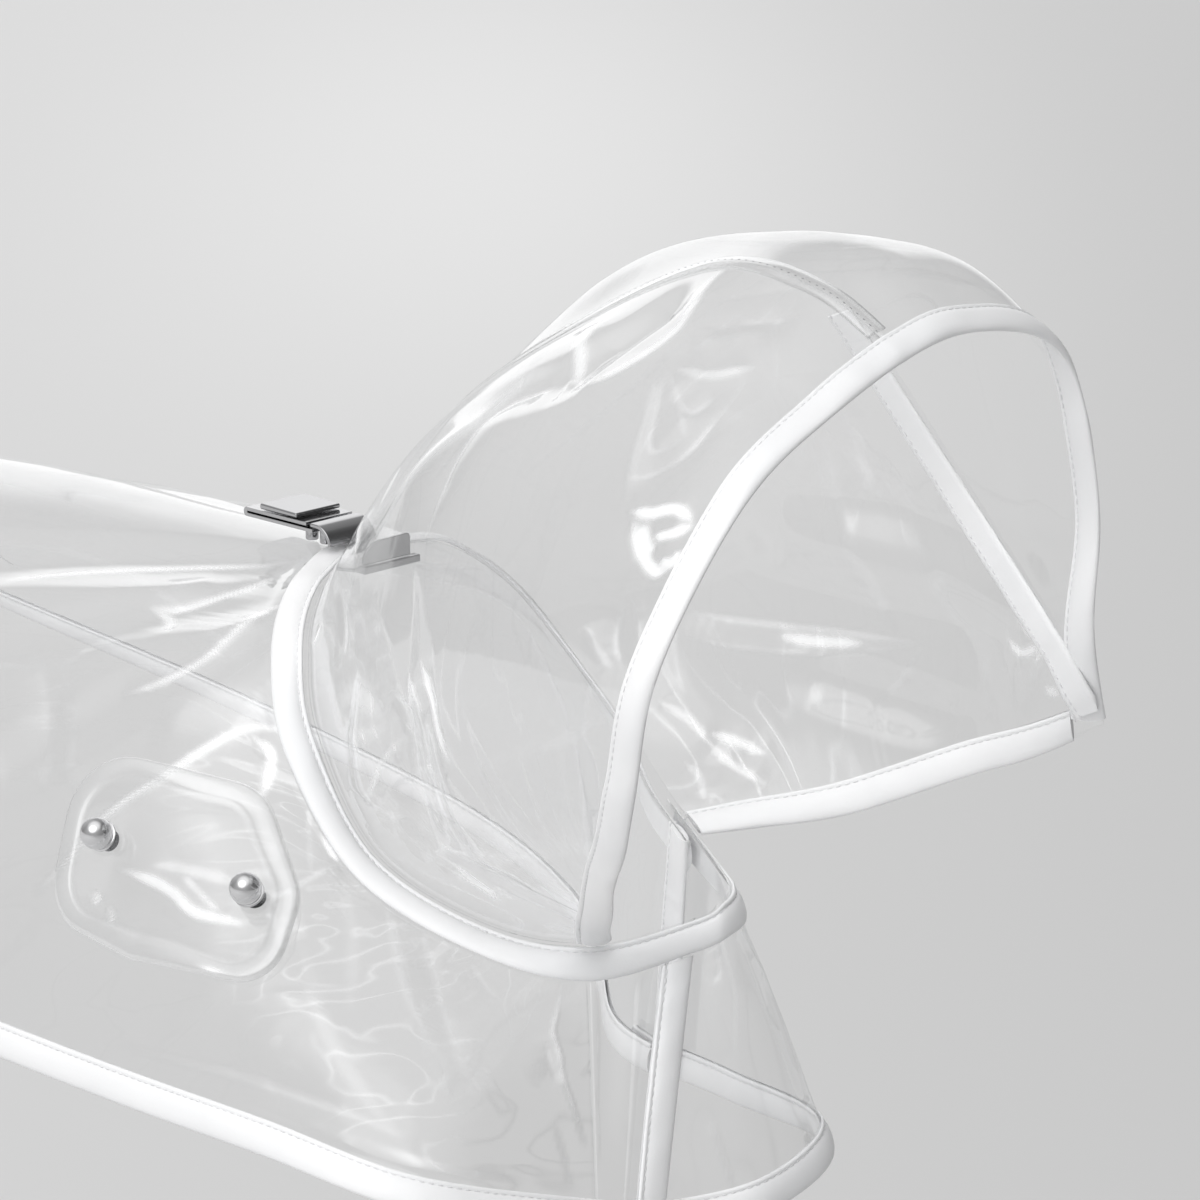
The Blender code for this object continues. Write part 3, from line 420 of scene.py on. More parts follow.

# creases, listed for each panel: points through the photograph, width and depth in mm (below 0 it
# stands up), then how wide and how white its line is
# the white of each line is partly the film's stress whitening and partly painted highlight streaks
seenCreases = {
    "back": (
        (((0, 577), (60, 568), (150, 562), (250, 560), (305, 556)), 5, -0.9, 1.6, 0.7),
        (((145, 603), (180, 600), (225, 587), (276, 570)), 7, 1.5, 2.4, 0.8),
        (((168, 587), (195, 577), (215, 573)), 5, -0.8, 2.0, 0.35),
        (((152, 602), (166, 612), (166, 628)), 4, 0.6, 2.2, 0.7),
        (((118, 692), (160, 681), (205, 658), (250, 622), (292, 598)), 8, -2.0, 2.2, 0.7),
        (((35, 893), (62, 868), (110, 815), (160, 780), (215, 745), (250, 729), (278, 729),
          (292, 742)), 8, -2.0, 1.7, 0.7),
        (((254, 738), (270, 752), (268, 776), (260, 800)), 5, 1.2, 1.6, 0.8),
        (((160, 705), (215, 712), (268, 722)), 16, -1.4, 9.0, 0.28),
        (((118, 868), (150, 880), (173, 893), (193, 912), (220, 918), (243, 924)), 6, -1.0, 2.0, 0.85),
        (((152, 865), (180, 867), (207, 874), (240, 884)), 6, 0.8, 2.0, 0.5),
        (((183, 876), (200, 893), (223, 917)), 4, 0.6, 1.2, 0.5),
        (((92, 904), (97, 897), (101, 892)), 4, 0.5, 2.4, 0.7),
        (((109, 906), (111, 916), (110, 926)), 4, 0.5, 1.8, 0.6),
        (((35, 650), (46, 700), (42, 790)), 9, 1.4, 3.0, 0.2),
        (((70, 680), (69, 745), (78, 800)), 9, -1.4, 2.6, 0.22),
        (((100, 620), (62, 668), (48, 730)), 9, 1.2, 2.6, 0.15),
        (((326, 826), (331, 845), (338, 862)), 4, 1.0, 1.6, 0.8),
        (((338, 862), (300, 885), (262, 902)), 5, -0.9, 0.9, 0.4),
        (((262, 902), (276, 925), (286, 960)), 6, 0.9, 0.9, 0.2),
        (((338, 862), (362, 872), (385, 880)), 4, 0.7, 0.9, 0.3),
        (((312, 765), (309, 830), (312, 880)), 6, 0.8, 0.9, 0.22),
        (((340, 870), (352, 935), (350, 1010)), 10, 1.6, 2.0, 0.12),
        (((385, 890), (402, 975), (425, 1035)), 9, -1.6, 1.6, 0.16),
        (((420, 920), (440, 1000), (470, 1095)), 9, 1.6, 1.4, 0.18),
        (((300, 940), (330, 1040), (390, 1130)), 12, -1.6, 2.4, 0.1),
        (((470, 960), (486, 985), (500, 1000)), 6, 0.9, 1.2, 0.14),
        (((120, 1045), (270, 1085), (400, 1135)), 8, 1.4, 1.8, 0.3),
        (((300, 1120), (430, 1165), (520, 1180)), 7, -1.2, 1.6, 0.35),
        (((556, 1125), (566, 1160), (570, 1185)), 5, 0.8, 1.2, 0.35),
        (((562, 985), (557, 1012), (553, 1032), (560, 1055), (563, 1078),
          (574, 1110), (585, 1145), (601, 1192)), 4, -0.9, 1.1, 0.6),
        (((545, 1040), (552, 1068), (560, 1085)), 3, 0.6, 0.9, 0.3),
    ),
    "hoodRight": (
        (((425, 540), (440, 482), (462, 442), (492, 408), (525, 388), (572, 377)), 9, 3.0, 1.4, 0.5),
        (((390, 505), (425, 462), (470, 422), (520, 380), (566, 362)), 9, -1.6, 4.5, 0.5),
        (((573, 383), (580, 352), (600, 320), (626, 286)), 8, -2.4, 2.8, 0.75),
        (((576, 387), (612, 378), (652, 354), (682, 328), (706, 290), (728, 264)), 8, -2.6, 1.8, 0.75),
        (((590, 352), (640, 318), (695, 296)), 10, 3.0, 1.0, 0.0),
        (((600, 300), (640, 282), (690, 258), (730, 246)), 9, -1.5, 3.0, 0.45),
        (((540, 345), (565, 322), (600, 300)), 7, 1.2, 3.0, 0.4),
        (((664, 360), (645, 420), (628, 478), (622, 500)), 7, -1.6, 1.0, 0.25),
        (((627, 478), (650, 474), (690, 448), (722, 408)), 6, 1.4, 1.2, 0.35),
        (((668, 372), (655, 415), (650, 448), (668, 446), (682, 436)), 5, 1.3, 1.1, 0.32),
        (((670, 372), (680, 410), (684, 436)), 5, -1.3, 1.1, 0.3),
        (((672, 392), (690, 412), (716, 396)), 5, 1.2, 1.3, 0.35),
        (((676, 370), (712, 376), (756, 366)), 7, -1.2, 2.4, 0.5),
        (((628, 511), (650, 514), (676, 510), (694, 522)), 6, -1.2, 2.4, 0.9),
        (((633, 515), (638, 548), (655, 570), (676, 560)), 6, 1.2, 2.6, 0.9),
        (((650, 538), (672, 534), (694, 524)), 4, -0.8, 2.0, 0.9),
        (((639, 520), (642, 540), (650, 558)), 5, 0.6, 3.6, 0.9),
        (((655, 563), (672, 562), (684, 548)), 4, -0.6, 2.4, 0.85),
        (((700, 330), (745, 322), (800, 318)), 8, 1.2, 1.2, 0.22),
        (((690, 350), (720, 338), (770, 330)), 6, -0.9, 1.0, 0.22),
        (((715, 300), (760, 292), (800, 285)), 7, 0.9, 1.2, 0.16),
        (((738, 268), (765, 262), (800, 274), (826, 292)), 4, -0.7, 1.2, 0.4),
        (((352, 560), (358, 545), (362, 520), (372, 500)), 4, -1.2, 2.2, 0.6),
        (((335, 570), (341, 602), (342, 645), (330, 672)), 4, 0.9, 0.9, 0.35),
        (((320, 622), (312, 646)), 3, 0.6, 1.3, 0.7),
        (((372, 600), (392, 650), (402, 720), (390, 762)), 6, -1.2, 1.0, 0.22),
        (((414, 560), (408, 640), (404, 700), (399, 742)), 7, 1.4, 1.0, 0.28),
        (((400, 736), (384, 762), (376, 790), (366, 800)), 4, -0.9, 1.2, 0.5),
        (((418, 660), (431, 700), (446, 742), (458, 762)), 6, 1.5, 2.4, 0.85),
        (((404, 672), (416, 700), (424, 716)), 5, -1.0, 2.2, 0.6),
        (((433, 640), (440, 700), (470, 775)), 6, -1.0, 0.9, 0.25),
        (((338, 706), (352, 694), (372, 704), (385, 722)), 8, 1.4, 4.0, 0.42),
        (((344, 728), (362, 738), (386, 726)), 6, -1.0, 2.4, 0.4),
        (((424, 862), (447, 848), (480, 860), (520, 878), (552, 905)), 6, -1.0, 1.0, 0.3),
        (((432, 858), (462, 872), (500, 905), (540, 945)), 6, 1.3, 1.0, 0.35),
        (((452, 866), (478, 886), (500, 902)), 4, -0.8, 2.2, 0.75),
        (((378, 818), (404, 820), (420, 842)), 5, 0.8, 0.9, 0.25),
        (((372, 815), (398, 782), (430, 768)), 6, -1.0, 1.0, 0.2),
    ),
    "hoodLeft": (
        (((486, 585), (540, 628), (572, 672), (600, 700)), 9, 1.6, 1.4, 0.22),
        (((446, 600), (470, 680), (492, 770), (504, 818)), 8, -1.6, 1.2, 0.3),
        (((490, 742), (484, 712), (500, 694), (522, 712)), 6, 1.2, 1.1, 0.35),
        (((496, 780), (492, 758), (506, 750), (518, 768), (508, 800), (504, 818)), 4, 1.0, 1.4, 0.6),
        (((566, 706), (575, 712), (568, 728)), 4, -0.8, 3.0, 0.95),
        (((542, 778), (552, 812), (554, 850), (560, 868)), 5, 1.0, 1.3, 0.65),
        (((556, 874), (561, 858), (568, 872)), 3, 0.6, 1.0, 0.8),
        (((572, 740), (565, 775), (574, 820)), 5, -1.0, 1.1, 0.35),
        (((566, 762), (584, 756), (600, 778)), 5, 1.0, 1.1, 0.3),
        (((586, 625), (596, 650), (612, 668)), 6, 1.2, 1.6, 0.3),
        (((626, 600), (616, 640), (622, 665)), 6, -1.2, 1.2, 0.28),
        (((632, 598), (640, 640), (632, 670)), 6, 1.2, 1.2, 0.25),
        (((676, 608), (740, 620), (840, 632), (925, 644)), 8, -2.0, 1.4, 0.5),
        (((676, 634), (740, 648), (830, 654), (925, 644)), 8, 2.0, 1.1, 0.3),
        (((780, 636), (820, 641), (868, 644)), 4, -0.8, 2.2, 0.8),
        (((822, 434), (842, 500), (866, 560), (900, 640)), 12, 1.8, 2.6, 0.2),
        (((850, 420), (862, 462), (870, 490)), 9, -1.4, 2.4, 0.25),
        (((886, 420), (905, 500), (960, 620), (1000, 700)), 14, -2.2, 3.0, 0.12),
        (((1008, 638), (1022, 652), (1042, 646)), 4, 0.8, 1.6, 0.75),
        (((1018, 618), (1030, 634), (1046, 642), (1034, 664)), 3, -0.6, 1.2, 0.6),
        (((1046, 688), (1060, 694)), 3, 0.6, 1.8, 0.7),
        (((925, 644), (900, 680), (868, 704)), 6, 1.0, 1.0, 0.22),
        (((660, 702), (690, 720), (716, 748)), 6, -1.0, 1.4, 0.35),
        (((706, 732), (735, 742), (764, 754)), 5, 1.0, 1.8, 0.7),
        (((712, 752), (745, 772), (766, 784)), 5, -0.8, 1.3, 0.4),
        (((684, 762), (700, 778), (704, 800)), 5, 0.8, 1.3, 0.35),
        (((1060, 400), (1072, 470), (1066, 520)), 8, 1.0, 1.2, 0.12),
    ),
    "chest": (
        (((738, 925), (785, 1030), (835, 1130)), 6, 1.4, 1.0, 0.1),
        (((710, 1120), (735, 1190)), 5, -0.8, 1.0, 0.25),
        (((715, 950), (720, 968), (714, 984)), 3, 0.6, 1.0, 0.4),
        (((806, 1130), (812, 1150), (816, 1168)), 4, 0.8, 1.5, 0.5),
    ),
}
# the same kind of creases where the photograph doesn't reach, by points (across, down) of the panel, 0 to 1
hiddenCreases = {
    "back": (
        (((0.58, 0.06), (0.57, 0.3), (0.6, 0.62)), 9, 1.8, 1.6, 0.35),
        (((0.64, 0.05), (0.63, 0.4), (0.66, 0.8)), 10, -2.0, 1.8, 0.3),
        (((0.7, 0.05), (0.72, 0.3), (0.7, 0.7)), 9, 1.8, 1.4, 0.4),
        (((0.77, 0.06), (0.75, 0.42), (0.78, 0.86)), 9, -1.8, 1.8, 0.3),
        (((0.84, 0.05), (0.85, 0.5), (0.83, 0.9)), 8, 1.6, 1.2, 0.35),
        (((0.9, 0.07), (0.91, 0.36), (0.9, 0.66)), 8, -1.4, 1.2, 0.3),
        (((0.36, 0.7), (0.42, 0.72), (0.47, 0.82)), 12, 1.8, 2.6, 0.3),
        (((0.55, 0.86), (0.6, 0.74), (0.66, 0.72)), 12, -1.8, 2.2, 0.3),
        (((0.5, 0.5), (0.49, 0.7), (0.51, 0.9)), 14, 1.2, 3.0, 0.2),
        (((0.34, 0.3), (0.37, 0.62), (0.36, 0.9)), 11, -1.6, 1.8, 0.25),
        (((0.42, 0.35), (0.43, 0.6), (0.45, 0.92)), 11, 1.4, 1.6, 0.25),
        (((0.62, 0.9), (0.68, 0.84), (0.74, 0.92)), 8, 1.2, 1.4, 0.4),
    ),
    "hoodLeft": (
        (((0.1, 0.08), (0.3, 0.14), (0.55, 0.08)), 9, -1.8, 1.8, 0.4),
        (((0.12, 0.24), (0.34, 0.3), (0.6, 0.26)), 9, 1.8, 1.4, 0.3),
        (((0.55, 0.16), (0.7, 0.22), (0.9, 0.18)), 8, 1.2, 1.6, 0.35),
    ),
    "chest": (
        (((0.3, 0.1), (0.34, 0.5), (0.3, 0.9)), 9, 1.4, 1.4, 0.25),
        (((0.55, 0.12), (0.53, 0.5), (0.56, 0.88)), 9, -1.4, 1.6, 0.2),
    ),
}
# where the film is crushed into many fine lines: the panel's layer that the eye meets (0 the near one), place in
# the photograph, radius in mm, amount
crushed = {
    "hoodRight": (
        (0, (450, 760), 55, 0.9), (0, (520, 900), 45, 0.8), (0, (360, 600), 30, 0.7), (0, (690, 420), 26, 0.45),
        (0, (760, 320), 26, 0.5), (0, (350, 720), 34, 0.7),
    ),
    "hoodLeft": (
        (0, (520, 740), 60, 1.0), (0, (740, 750), 40, 0.8), (0, (860, 470), 40, 0.35), (0, (1030, 650), 16, 0.5),
        (0, (940, 300), 24, 0.7),
    ),
    "back": (
        (0, (300, 800), 45, 0.5), (0, (380, 950), 60, 0.55), (0, (240, 620), 40, 0.4), (0, (60, 720), 45, 0.35),
        (0, (470, 1150), 50, 0.45), (1, (300, 700), 60, 0.6), (0, (560, 1080), 14, 0.9),
    ),
    "frontRight": (
        (0, (575, 1060), 10, 0.6),
    ),
    "chest": (
        (0, (815, 1150), 16, 0.7),
    ),
}


def treeOf(grid, step=1):
    coarse = grid[::step, ::step]
    return BVHTree.FromPolygons([tuple(p) for p in coarse.reshape(-1, 3)], gridFaces(*coarse.shape[:2]))


def gridFaces(rows, columns, side=1, closedAcross=False):
    i = np.arange(rows - 1)[:, None]
    j = np.arange(columns if closedAcross else columns - 1)[None, :]
    k = (j + 1) % columns
    quads = np.stack(np.broadcast_arrays(i * columns + j, (i + 1) * columns + j, (i + 1) * columns + k,
                                         i * columns + k), axis=-1).reshape(-1, 4)
    return (quads if side > 0 else quads[:, ::-1]).tolist()


def sightedOn(tree, points, layer=0):
    # where the eye's lines through the photograph meet the panel
    found = []
    for x, y in points:
        start, way = sightLine(x, y)
        for _ in range(layer + 1):
            hit = tree.ray_cast(start, way)
            if hit[0] is None:
                break
            start = hit[0] + way * 0.5
        if hit[0] is not None:
            found.append(tuple(hit[0]))
    return np.array(found)


def sharedOn(grid, points):
    across = reachOf(grid[:, grid.shape[1] // 2])
    u = np.interp([p[0] for p in points], across / across[-1], np.arange(len(across)))
    v = np.array([p[1] for p in points]) * (grid.shape[1] - 1)
    return grid[np.rint(u).astype(int), np.rint(v).astype(int)]


def seamLine(tree, stations):
    start, end = np.array(seamTape["seen"], float)
    rows = sightedOn(tree, [start + (end - start) * share for share in np.linspace(0, 1, 31)])[::3]
    return evenLine(smoothAt(rows, np.linspace(0, len(rows) - 1, 90)), stations)


def nearestOn(line, grid, reach):
    near = np.all((grid > line.min(axis=0) - reach) & (grid < line.max(axis=0) + reach), axis=2)
    spots = grid[near]
    away, share = np.full(len(spots), 1e6), np.zeros(len(spots))
    for first in range(0, len(spots), 4000):
        apart = np.linalg.norm(spots[first:first + 4000, None] - line[None], axis=2)
        best = apart.argmin(axis=1)
        away[first:first + 4000] = apart[np.arange(len(best)), best]
        share[first:first + 4000] = best / (len(line) - 1)
    return near, away, share


creaseLook = {"depth": 0.75, "white": 1.0, "edge": 1.1, "cells": 0.85, "leastCrush": 0.12, "seamRest": 13.0}


def creased(grid, side, panel, keep):
    normal = gridNormals(grid, side)
    tree = treeOf(grid, 4)
    cell = np.maximum(*(np.linalg.norm(np.gradient(grid, axis=k), axis=2) for k in (0, 1)))
    depth, white, crush = foldDepth(grid, panel), np.zeros(grid.shape[:2]), np.zeros(grid.shape[:2])
    rows = [(sightedOn(tree, row[0]), *row[1:]) for row in seenCreases.get(panel, ())]
    rows += [(sharedOn(grid, row[0]), *row[1:]) for row in hiddenCreases.get(panel, ())]
    for points, width, fold, lineWidth, pale in rows:
        if len(points) < 2:
            continue
        fine = smoothAt(points, np.linspace(0, len(points) - 1, 10 * len(points)))
        near, away, share = nearestOn(evenLine(fine, max(8, int(reachOf(fine)[-1] / 0.8))), grid, 3.0 * width)
        taper = np.clip(np.sin(math.pi * np.clip(share, 0.0, 1.0)) * 1.5, 0.02, 1)
        depth[near] += creaseLook["depth"] * fold * taper * np.exp(-(away / width) ** 1.3)
        body = np.maximum(creaseLook["edge"] * lineWidth * (0.35 + 0.65 * taper), creaseLook["cells"] * cell[near])
        # the line's white: partly stress whitening, partly painted highlight, tapered at its ends like a highlight
        # blade
        line = creaseLook["white"] * pale * taper ** 0.5 * np.exp(-(away / body) ** 3)
        white[near] = np.maximum(white[near], line)
    for layer, place, radius, amount in crushed[panel]:
        spot = sightedOn(tree, (place,), layer)
        if len(spot):
            crush = np.maximum(crush, amount * np.exp(-(np.linalg.norm(grid - spot[0], axis=2) / radius) ** 2))
    if panel == "hoodLeft":  # the film lies flat along its taped seam
        near, away, _ = nearestOn(seamLine(tree, 200), grid, 30.0)
        keep[near] *= 1 - np.exp(-(away / creaseLook["seamRest"]) ** 2)
    surfaceGrid = grid - normal * (depth * keep + 0.5 * cut["film"])[..., None]
    return surfaceGrid, white, np.maximum(crush, creaseLook["leastCrush"])


def fadeFrom(shape, uStart, uEnd, vStart, vEnd):
    # folds die away towards bound edges: cells to fade over at each border, 0 for a border left as it is
    i, j = np.arange(shape[0])[:, None], np.arange(shape[1])[None, :]
    fade = np.ones(shape)
    for cells, steps in ((uStart, i), (uEnd, shape[0] - 1 - i), (vStart, j), (vEnd, shape[1] - 1 - j)):
        if cells:
            fade = fade * np.clip((steps - 2) / cells, 0, 1)
    return fade


def meshFrom(name, points, faces, material, uv=None):
    mesh = bpy.data.meshes.new(name)
    mesh.from_pydata([tuple(point) for point in np.asarray(points) * mm], [], faces)
    mesh.shade_smooth()
    if uv is not None:
        layer = mesh.uv_layers.new(name="UVMap")
        corner = np.concatenate([np.asarray(face) for face in faces])
        layer.data.foreach_set("uv", (np.asarray(uv)[corner] * mm).astype(np.float32).ravel())
    mesh.materials.append(looks[material])
    return placed(name, mesh)


def marked(piece, label, values):
    mark = piece.data.attributes.new(label, "FLOAT", "POINT")
    mark.data.foreach_set("value", values.ravel().astype(np.float32))


def settled(piece, node=None):
    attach(piece, "root")
    if node:
        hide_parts(node)
    return piece


def filmPiece(name, node, grid, white, crush, side):
    across = np.linalg.norm(np.diff(grid, axis=0), axis=2).mean(axis=1)
    down = np.linalg.norm(np.diff(grid, axis=1), axis=2).mean(axis=0)
    uv = np.stack(np.meshgrid(np.concatenate(([0], np.cumsum(across))), np.concatenate(([0], np.cumsum(down))),
                              indexing="ij"), axis=2).reshape(-1, 2)
    piece = meshFrom(name, grid.reshape(-1, 3), gridFaces(*grid.shape[:2], side), "film", uv)
    marked(piece, "paleAndHighlight", white)
    marked(piece, "crinkle", crush)
    rim = piece.modifiers.new("edge", "SOLIDIFY")
    rim.thickness = cut["shownFilm"] * mm
    rim.offset = 0
    rim.use_rim_only = True
    piece.visible_shadow = False  # clear film hardly shades what lies behind it
    return settled(piece, node)


flatGrids = {
    "hoodRight": hoodGrid(hoodRight, hoodNeckRight, 210, 200, ((2.0,), ()), -1.0),
    "hoodLeft": hoodGrid(hoodLeft, hoodNeckLeft, 210, 200, ((2.0,), tapeCells), 1.0),
    "back": bodyGrid(cut["rightSeam"], cut["leftEdge"] + cut["lapWidth"], 440, 200,
                     ((cut["seam"],), tapeCells), cut["leftEdge"], 0.45)[1:],
    "frontRight": bodyGrid(0.0, cut["rightSeam"], 40, 100, (tapeCells, (cut["seam"],)))[:-1],
    "chest": bodyGrid(cut["leftEdge"], cut["chestEnd"] + cut["lapWidth"], 150, 100, (tapeCells, tapeCells),
                      cut["chestEnd"]),
}
# the side that each panel's normals face, cells to fade its folds over at each border, node and name
panelRows = {
    "hoodRight": (-1, (6, 8, 0, 5), "hood_panel_right", "filmHoodRight"),
    "hoodLeft": (1, (6, 8, 0, 8), "hood_panel_left", "filmHoodLeft"),
    "back": (1, (3, 6, 6, 6), "back_panel", "filmBack"),
    "frontRight": (1, (6, 3, 6, 6), "front_panel_right", "filmFrontRight"),
    "chest": (1, (0, 0, 6, 6), "chest_panel", "filmChest"),
}
panels, normals, films = {}, {}, {}
for panel, (side, fades, node, name) in panelRows.items():
    keep = fadeFrom(flatGrids[panel].shape[:2], *fades)
    panels[panel], white, crush = creased(flatGrids[panel], side, panel, keep)
    normals[panel] = gridNormals(panels[panel], side)
    films[panel] = filmPiece(name, node, panels[panel], white, crush, side)
print("film panels made")

# folded white binding: half a section, as distance in from the film's edge and height off its middle
binding = {
    "profile": ((10.4, 0.5), (10.2, 0.9), (9.8, 1.1), (9.2, 1.1), (8.8, 0.85), (8.3, 1.1), (7.5, 1.4),
                (6.1, 1.7), (4.2, 1.8), (2.3, 1.7), (0.8, 1.4), (-0.3, 0.95), (-0.9, 0.4)),
    "stitchAt": 8.8, "stitchHeight": 0.96, "shut": 0.3, "puff": 0.07,
}


def fanFrom(panel, border, first=0, last=None):
    # lines running inward from a stretch of a panel's border, with the normals along them
    fan = panels[panel], normals[panel]
    if border[0] == "u":
        fan = [part.transpose(1, 0, 2) for part in fan]
    if border.endswith("End"):
        fan = [part[:, ::-1] for part in fan]
    return [part[first:last, :20] for part in fan]


def fanAt(lines, lineNormals, distances):
    # points at these distances in from the border; below 0 they lie beyond it
    distances = np.asarray(distances, float)
    spots, ways = [], []
    for line, normal in zip(lines, lineNormals):
        reach = reachOf(line)
        spot = onLine(line, np.clip(distances, 0, None), reach)
        spots.append(spot + unit(line[0] - line[1]) * np.clip(-distances, 0, None)[:, None])
        ways.append(onLine(normal, np.clip(distances, 0, None), reach))
    return np.stack(spots), unit(np.stack(ways))


def wobble(count, seed, size):
    rows = np.random.default_rng(seed).normal(0, size, (max(4, count // 7), 1))
    return smoothAt(rows, np.linspace(0, len(rows) - 1, count))[:, 0]


stitchRows = []


def closedLoft(name, rings, material, uv=None, turn=1):
    # a closed shape through its sections, and which way its end faces are listed
    stations, around = rings.shape[:2]
    faces = gridFaces(stations, around, 1, True)
    faces += [tuple(range(around))[::turn], tuple((stations - 1) * around + k for k in range(around))[::-turn]]
    piece = meshFrom(name, rings.reshape(-1, 3), faces, material, uv)
    outward = bmesh.new()
    outward.from_mesh(piece.data)
    bmesh.ops.recalc_face_normals(outward, faces=outward.faces)
    outward.to_mesh(piece.data)
    outward.free()
    return piece


def tapePiece(name, rings, node):
    # with its length and girth as UV
    rings = np.asarray(rings)
    girth = reachOf(rings[len(rings) // 2])
    uv = np.stack(np.broadcast_arrays(reachOf(rings.mean(axis=1))[:, None], girth[None, :]), axis=2).reshape(-1, 2)
    piece = closedLoft(name, rings, "tape", uv)
    piece.data.set_sharp_from_angle(angle=math.radians(60))
    settled(piece, node)


def pulledIn(spots, start, end):
    # move the first and last sections along the run, clear of the tape they meet
    for first, second, length in ((0, 1, start), (-1, -2, end)):
        run = spots[second] - spots[first]
        spots[first] = spots[first] + run * min(0.8, length / np.linalg.norm(run.mean(axis=0)))
    return spots


def foldedTape(name, node, fan, seed, start=0.0, end=0.0):
    profile = np.array(binding["profile"])
    spots, ways = fanAt(*fan, profile[:, 0])
    spots = pulledIn(spots, start, end)
    puff = 1 + wobble(len(spots), seed, binding["puff"])[:, None, None]
    lift = ways * profile[None, :, 1:] * puff
    upper, lower = spots + lift, spots - lift
    middle, shut = spots[:, ::-1], ways[:, ::-1] * binding["shut"]
    insideTop, insideLow = middle + shut, middle - shut
    rings = np.concatenate((upper, lower[:, ::-1], insideLow[:, -2:-1], insideLow[:, 1:2], insideTop[:, 1:2],
                            insideTop[:, -2:-1]), axis=1)
    tapePiece(name, rings, node)
    path, facing = (part[:, 0] for part in fanAt(*fan, [binding["stitchAt"]]))
    for sign in (1, -1):
        stitchRows.append((path + facing * sign * binding["stitchHeight"], facing * sign))


def bothTree(*grids):
    points, faces = [], []
    for grid in grids:
        faces += [[v + len(points) for v in face] for face in gridFaces(*grid.shape[:2])]
        points += [tuple(point) for point in grid.reshape(-1, 3)]
    return BVHTree.FromPolygons(points, faces)


def fanAlong(path, tree, centre, width=13):
    # square to an edge that the grid meets at a slant: lines inward over the film, from the film itself
    runs = smoothAt(np.gradient(path, axis=0)[::6], np.linspace(0, len(path[::6]) - 1, len(path)))
    lines, ways = [], []
    for point, run in zip(path, unit(runs)):
        inward, line, normals = None, [point], []
        for _ in range(width):
            hit = tree.find_nearest(Vector(line[-1] if inward is None else line[-1] + inward))
            normal = np.array(hit[1])
            normal *= 1 if normal @ (np.array(hit[0]) - centre) > 0 else -1
            if inward is None:
                inward = np.cross(normal, run)
                hit = tree.find_nearest(Vector(point + inward))
            else:
                inward = inward - normal * (inward @ normal)
            inward = unit(inward)
            line.append(np.array(hit[0]))
            normals.append(normal)
        lines.append(line)
        ways.append(normals[:1] + normals)
    ways = np.array(ways)
    for _ in range(4):
        ways[1:-1] = (ways[:-2] + ways[1:-1] * 2 + ways[2:]) / 4
    return np.array(lines), unit(ways)


face = {"start": 3, "stations": 330, "ease": 160, "centre": (150.0, 0.0, 20.0)}
baseEdge, rightEdge = panels["hoodRight"][face["start"]:-4, -1], panels["hoodRight"][-1, ::-1][3:-1]
leftEdge = panels["hoodLeft"][-1, 1:]
crownPoint = (panels["hoodRight"][-1, 0] + panels["hoodLeft"][-1, 0])[None] / 2
edgeLine = np.concatenate((baseEdge, rightEdge, crownPoint, leftEdge))
edgeLine = evenLine(smoothAt(edgeLine[::5], np.linspace(0, len(edgeLine[::5]) - 1, 1600)), 800)
for _ in range(face["ease"]):  # the tape runs straighter than the film's own edge
    edgeLine[1:-1] = (edgeLine[:-2] + 2 * edgeLine[1:-1] + edgeLine[2:]) / 4
faceTree = bothTree(panels["hoodRight"], panels["hoodLeft"])
faceFan = fanAlong(evenLine(edgeLine, face["stations"]), faceTree, np.array(face["centre"]))
hemFan = [np.concatenate(parts) for parts in zip(fanFrom("frontRight", "vEnd", 4), fanFrom("back", "vEnd", 0, -4))]
# name, node, fan, seed of its puffs, then how far each end is pulled in
foldedTape("tapeHoodFace", "hood_face_binding", faceFan, 3, 0.5)
foldedTape("tapeHoodLowerLeft", "hood_lower_binding_left", fanFrom("hoodLeft", "vEnd", 0, -4), 5, 1.6, 0.5)
foldedTape("tapeHem", "hem_binding", hemFan, 7, 0.6, 0.6)
foldedTape("tapeChestHem", "chest_hem_binding", fanFrom("chest", "vEnd"), 11)
foldedTape("tapeFrontEdgeRight", "front_edge_binding_right", fanFrom("frontRight", "uStart", 4), 13, 0.8)
foldedTape("tapeFrontEdgeLeft", "front_edge_binding_left", fanFrom("back", "uEnd"), 17)
print("folded bindings made")

# collar band: lies on the body's neck edge, with a lip towards the hood
collar = {
    "profile": ((0.9, 0.55), (0.9, 1.2), (1.4, 1.5), (2.1, 1.45), (2.6, 1.05), (3.2, 1.5), (4.2, 1.95),
                (6.2, 2.25), (8.4, 2.2), (10.3, 1.85), (11.5, 1.3), (11.9, 0.6)),
    "stitchAt": 2.6, "stitchHeight": 1.2, "ribs": (8.0, -3.9), "stations": 230, "underside": 0.5, "puff": 0.05,
    "leftLift": 0.5,
}


def collarTape(name, node, fan, seed, lift):
    profile = np.array(collar["profile"])
    spots, ways = fanAt(*fan, profile[:, 0])
    spots = spots + ways * lift
    puff = 1 + wobble(len(spots), seed, collar["puff"])[:, None, None]
    top = spots + ways * profile[None, :, 1:] * puff
    base = spots + ways * collar["underside"]
    tapePiece(name, np.concatenate((top, base[:, ::-1]), axis=1), node)
    path, facing = (part[:, 0] for part in fanAt(*fan, [collar["stitchAt"]]))
    stitchRows.append((path + facing * (collar["stitchHeight"] + lift), facing))


ring = ribSheet(np.linspace(*collar["ribs"], collar["stations"]))
ring = np.stack([evenLine(line, 60, (1.0,) * 15) for line in ring])
collarTape("tapeCollarRight", "collar_band_right", (ring, gridNormals(ring, -1)), 19, 0.0)
nape = int(np.argmin(np.abs(panels["back"][:, 0, 1])))
leftFan = fanFrom("back", "vStart", nape + 1)
collarTape("tapeCollarLeft", "collar_band_left", leftFan, 23, collar["leftLift"])
print("collar made")


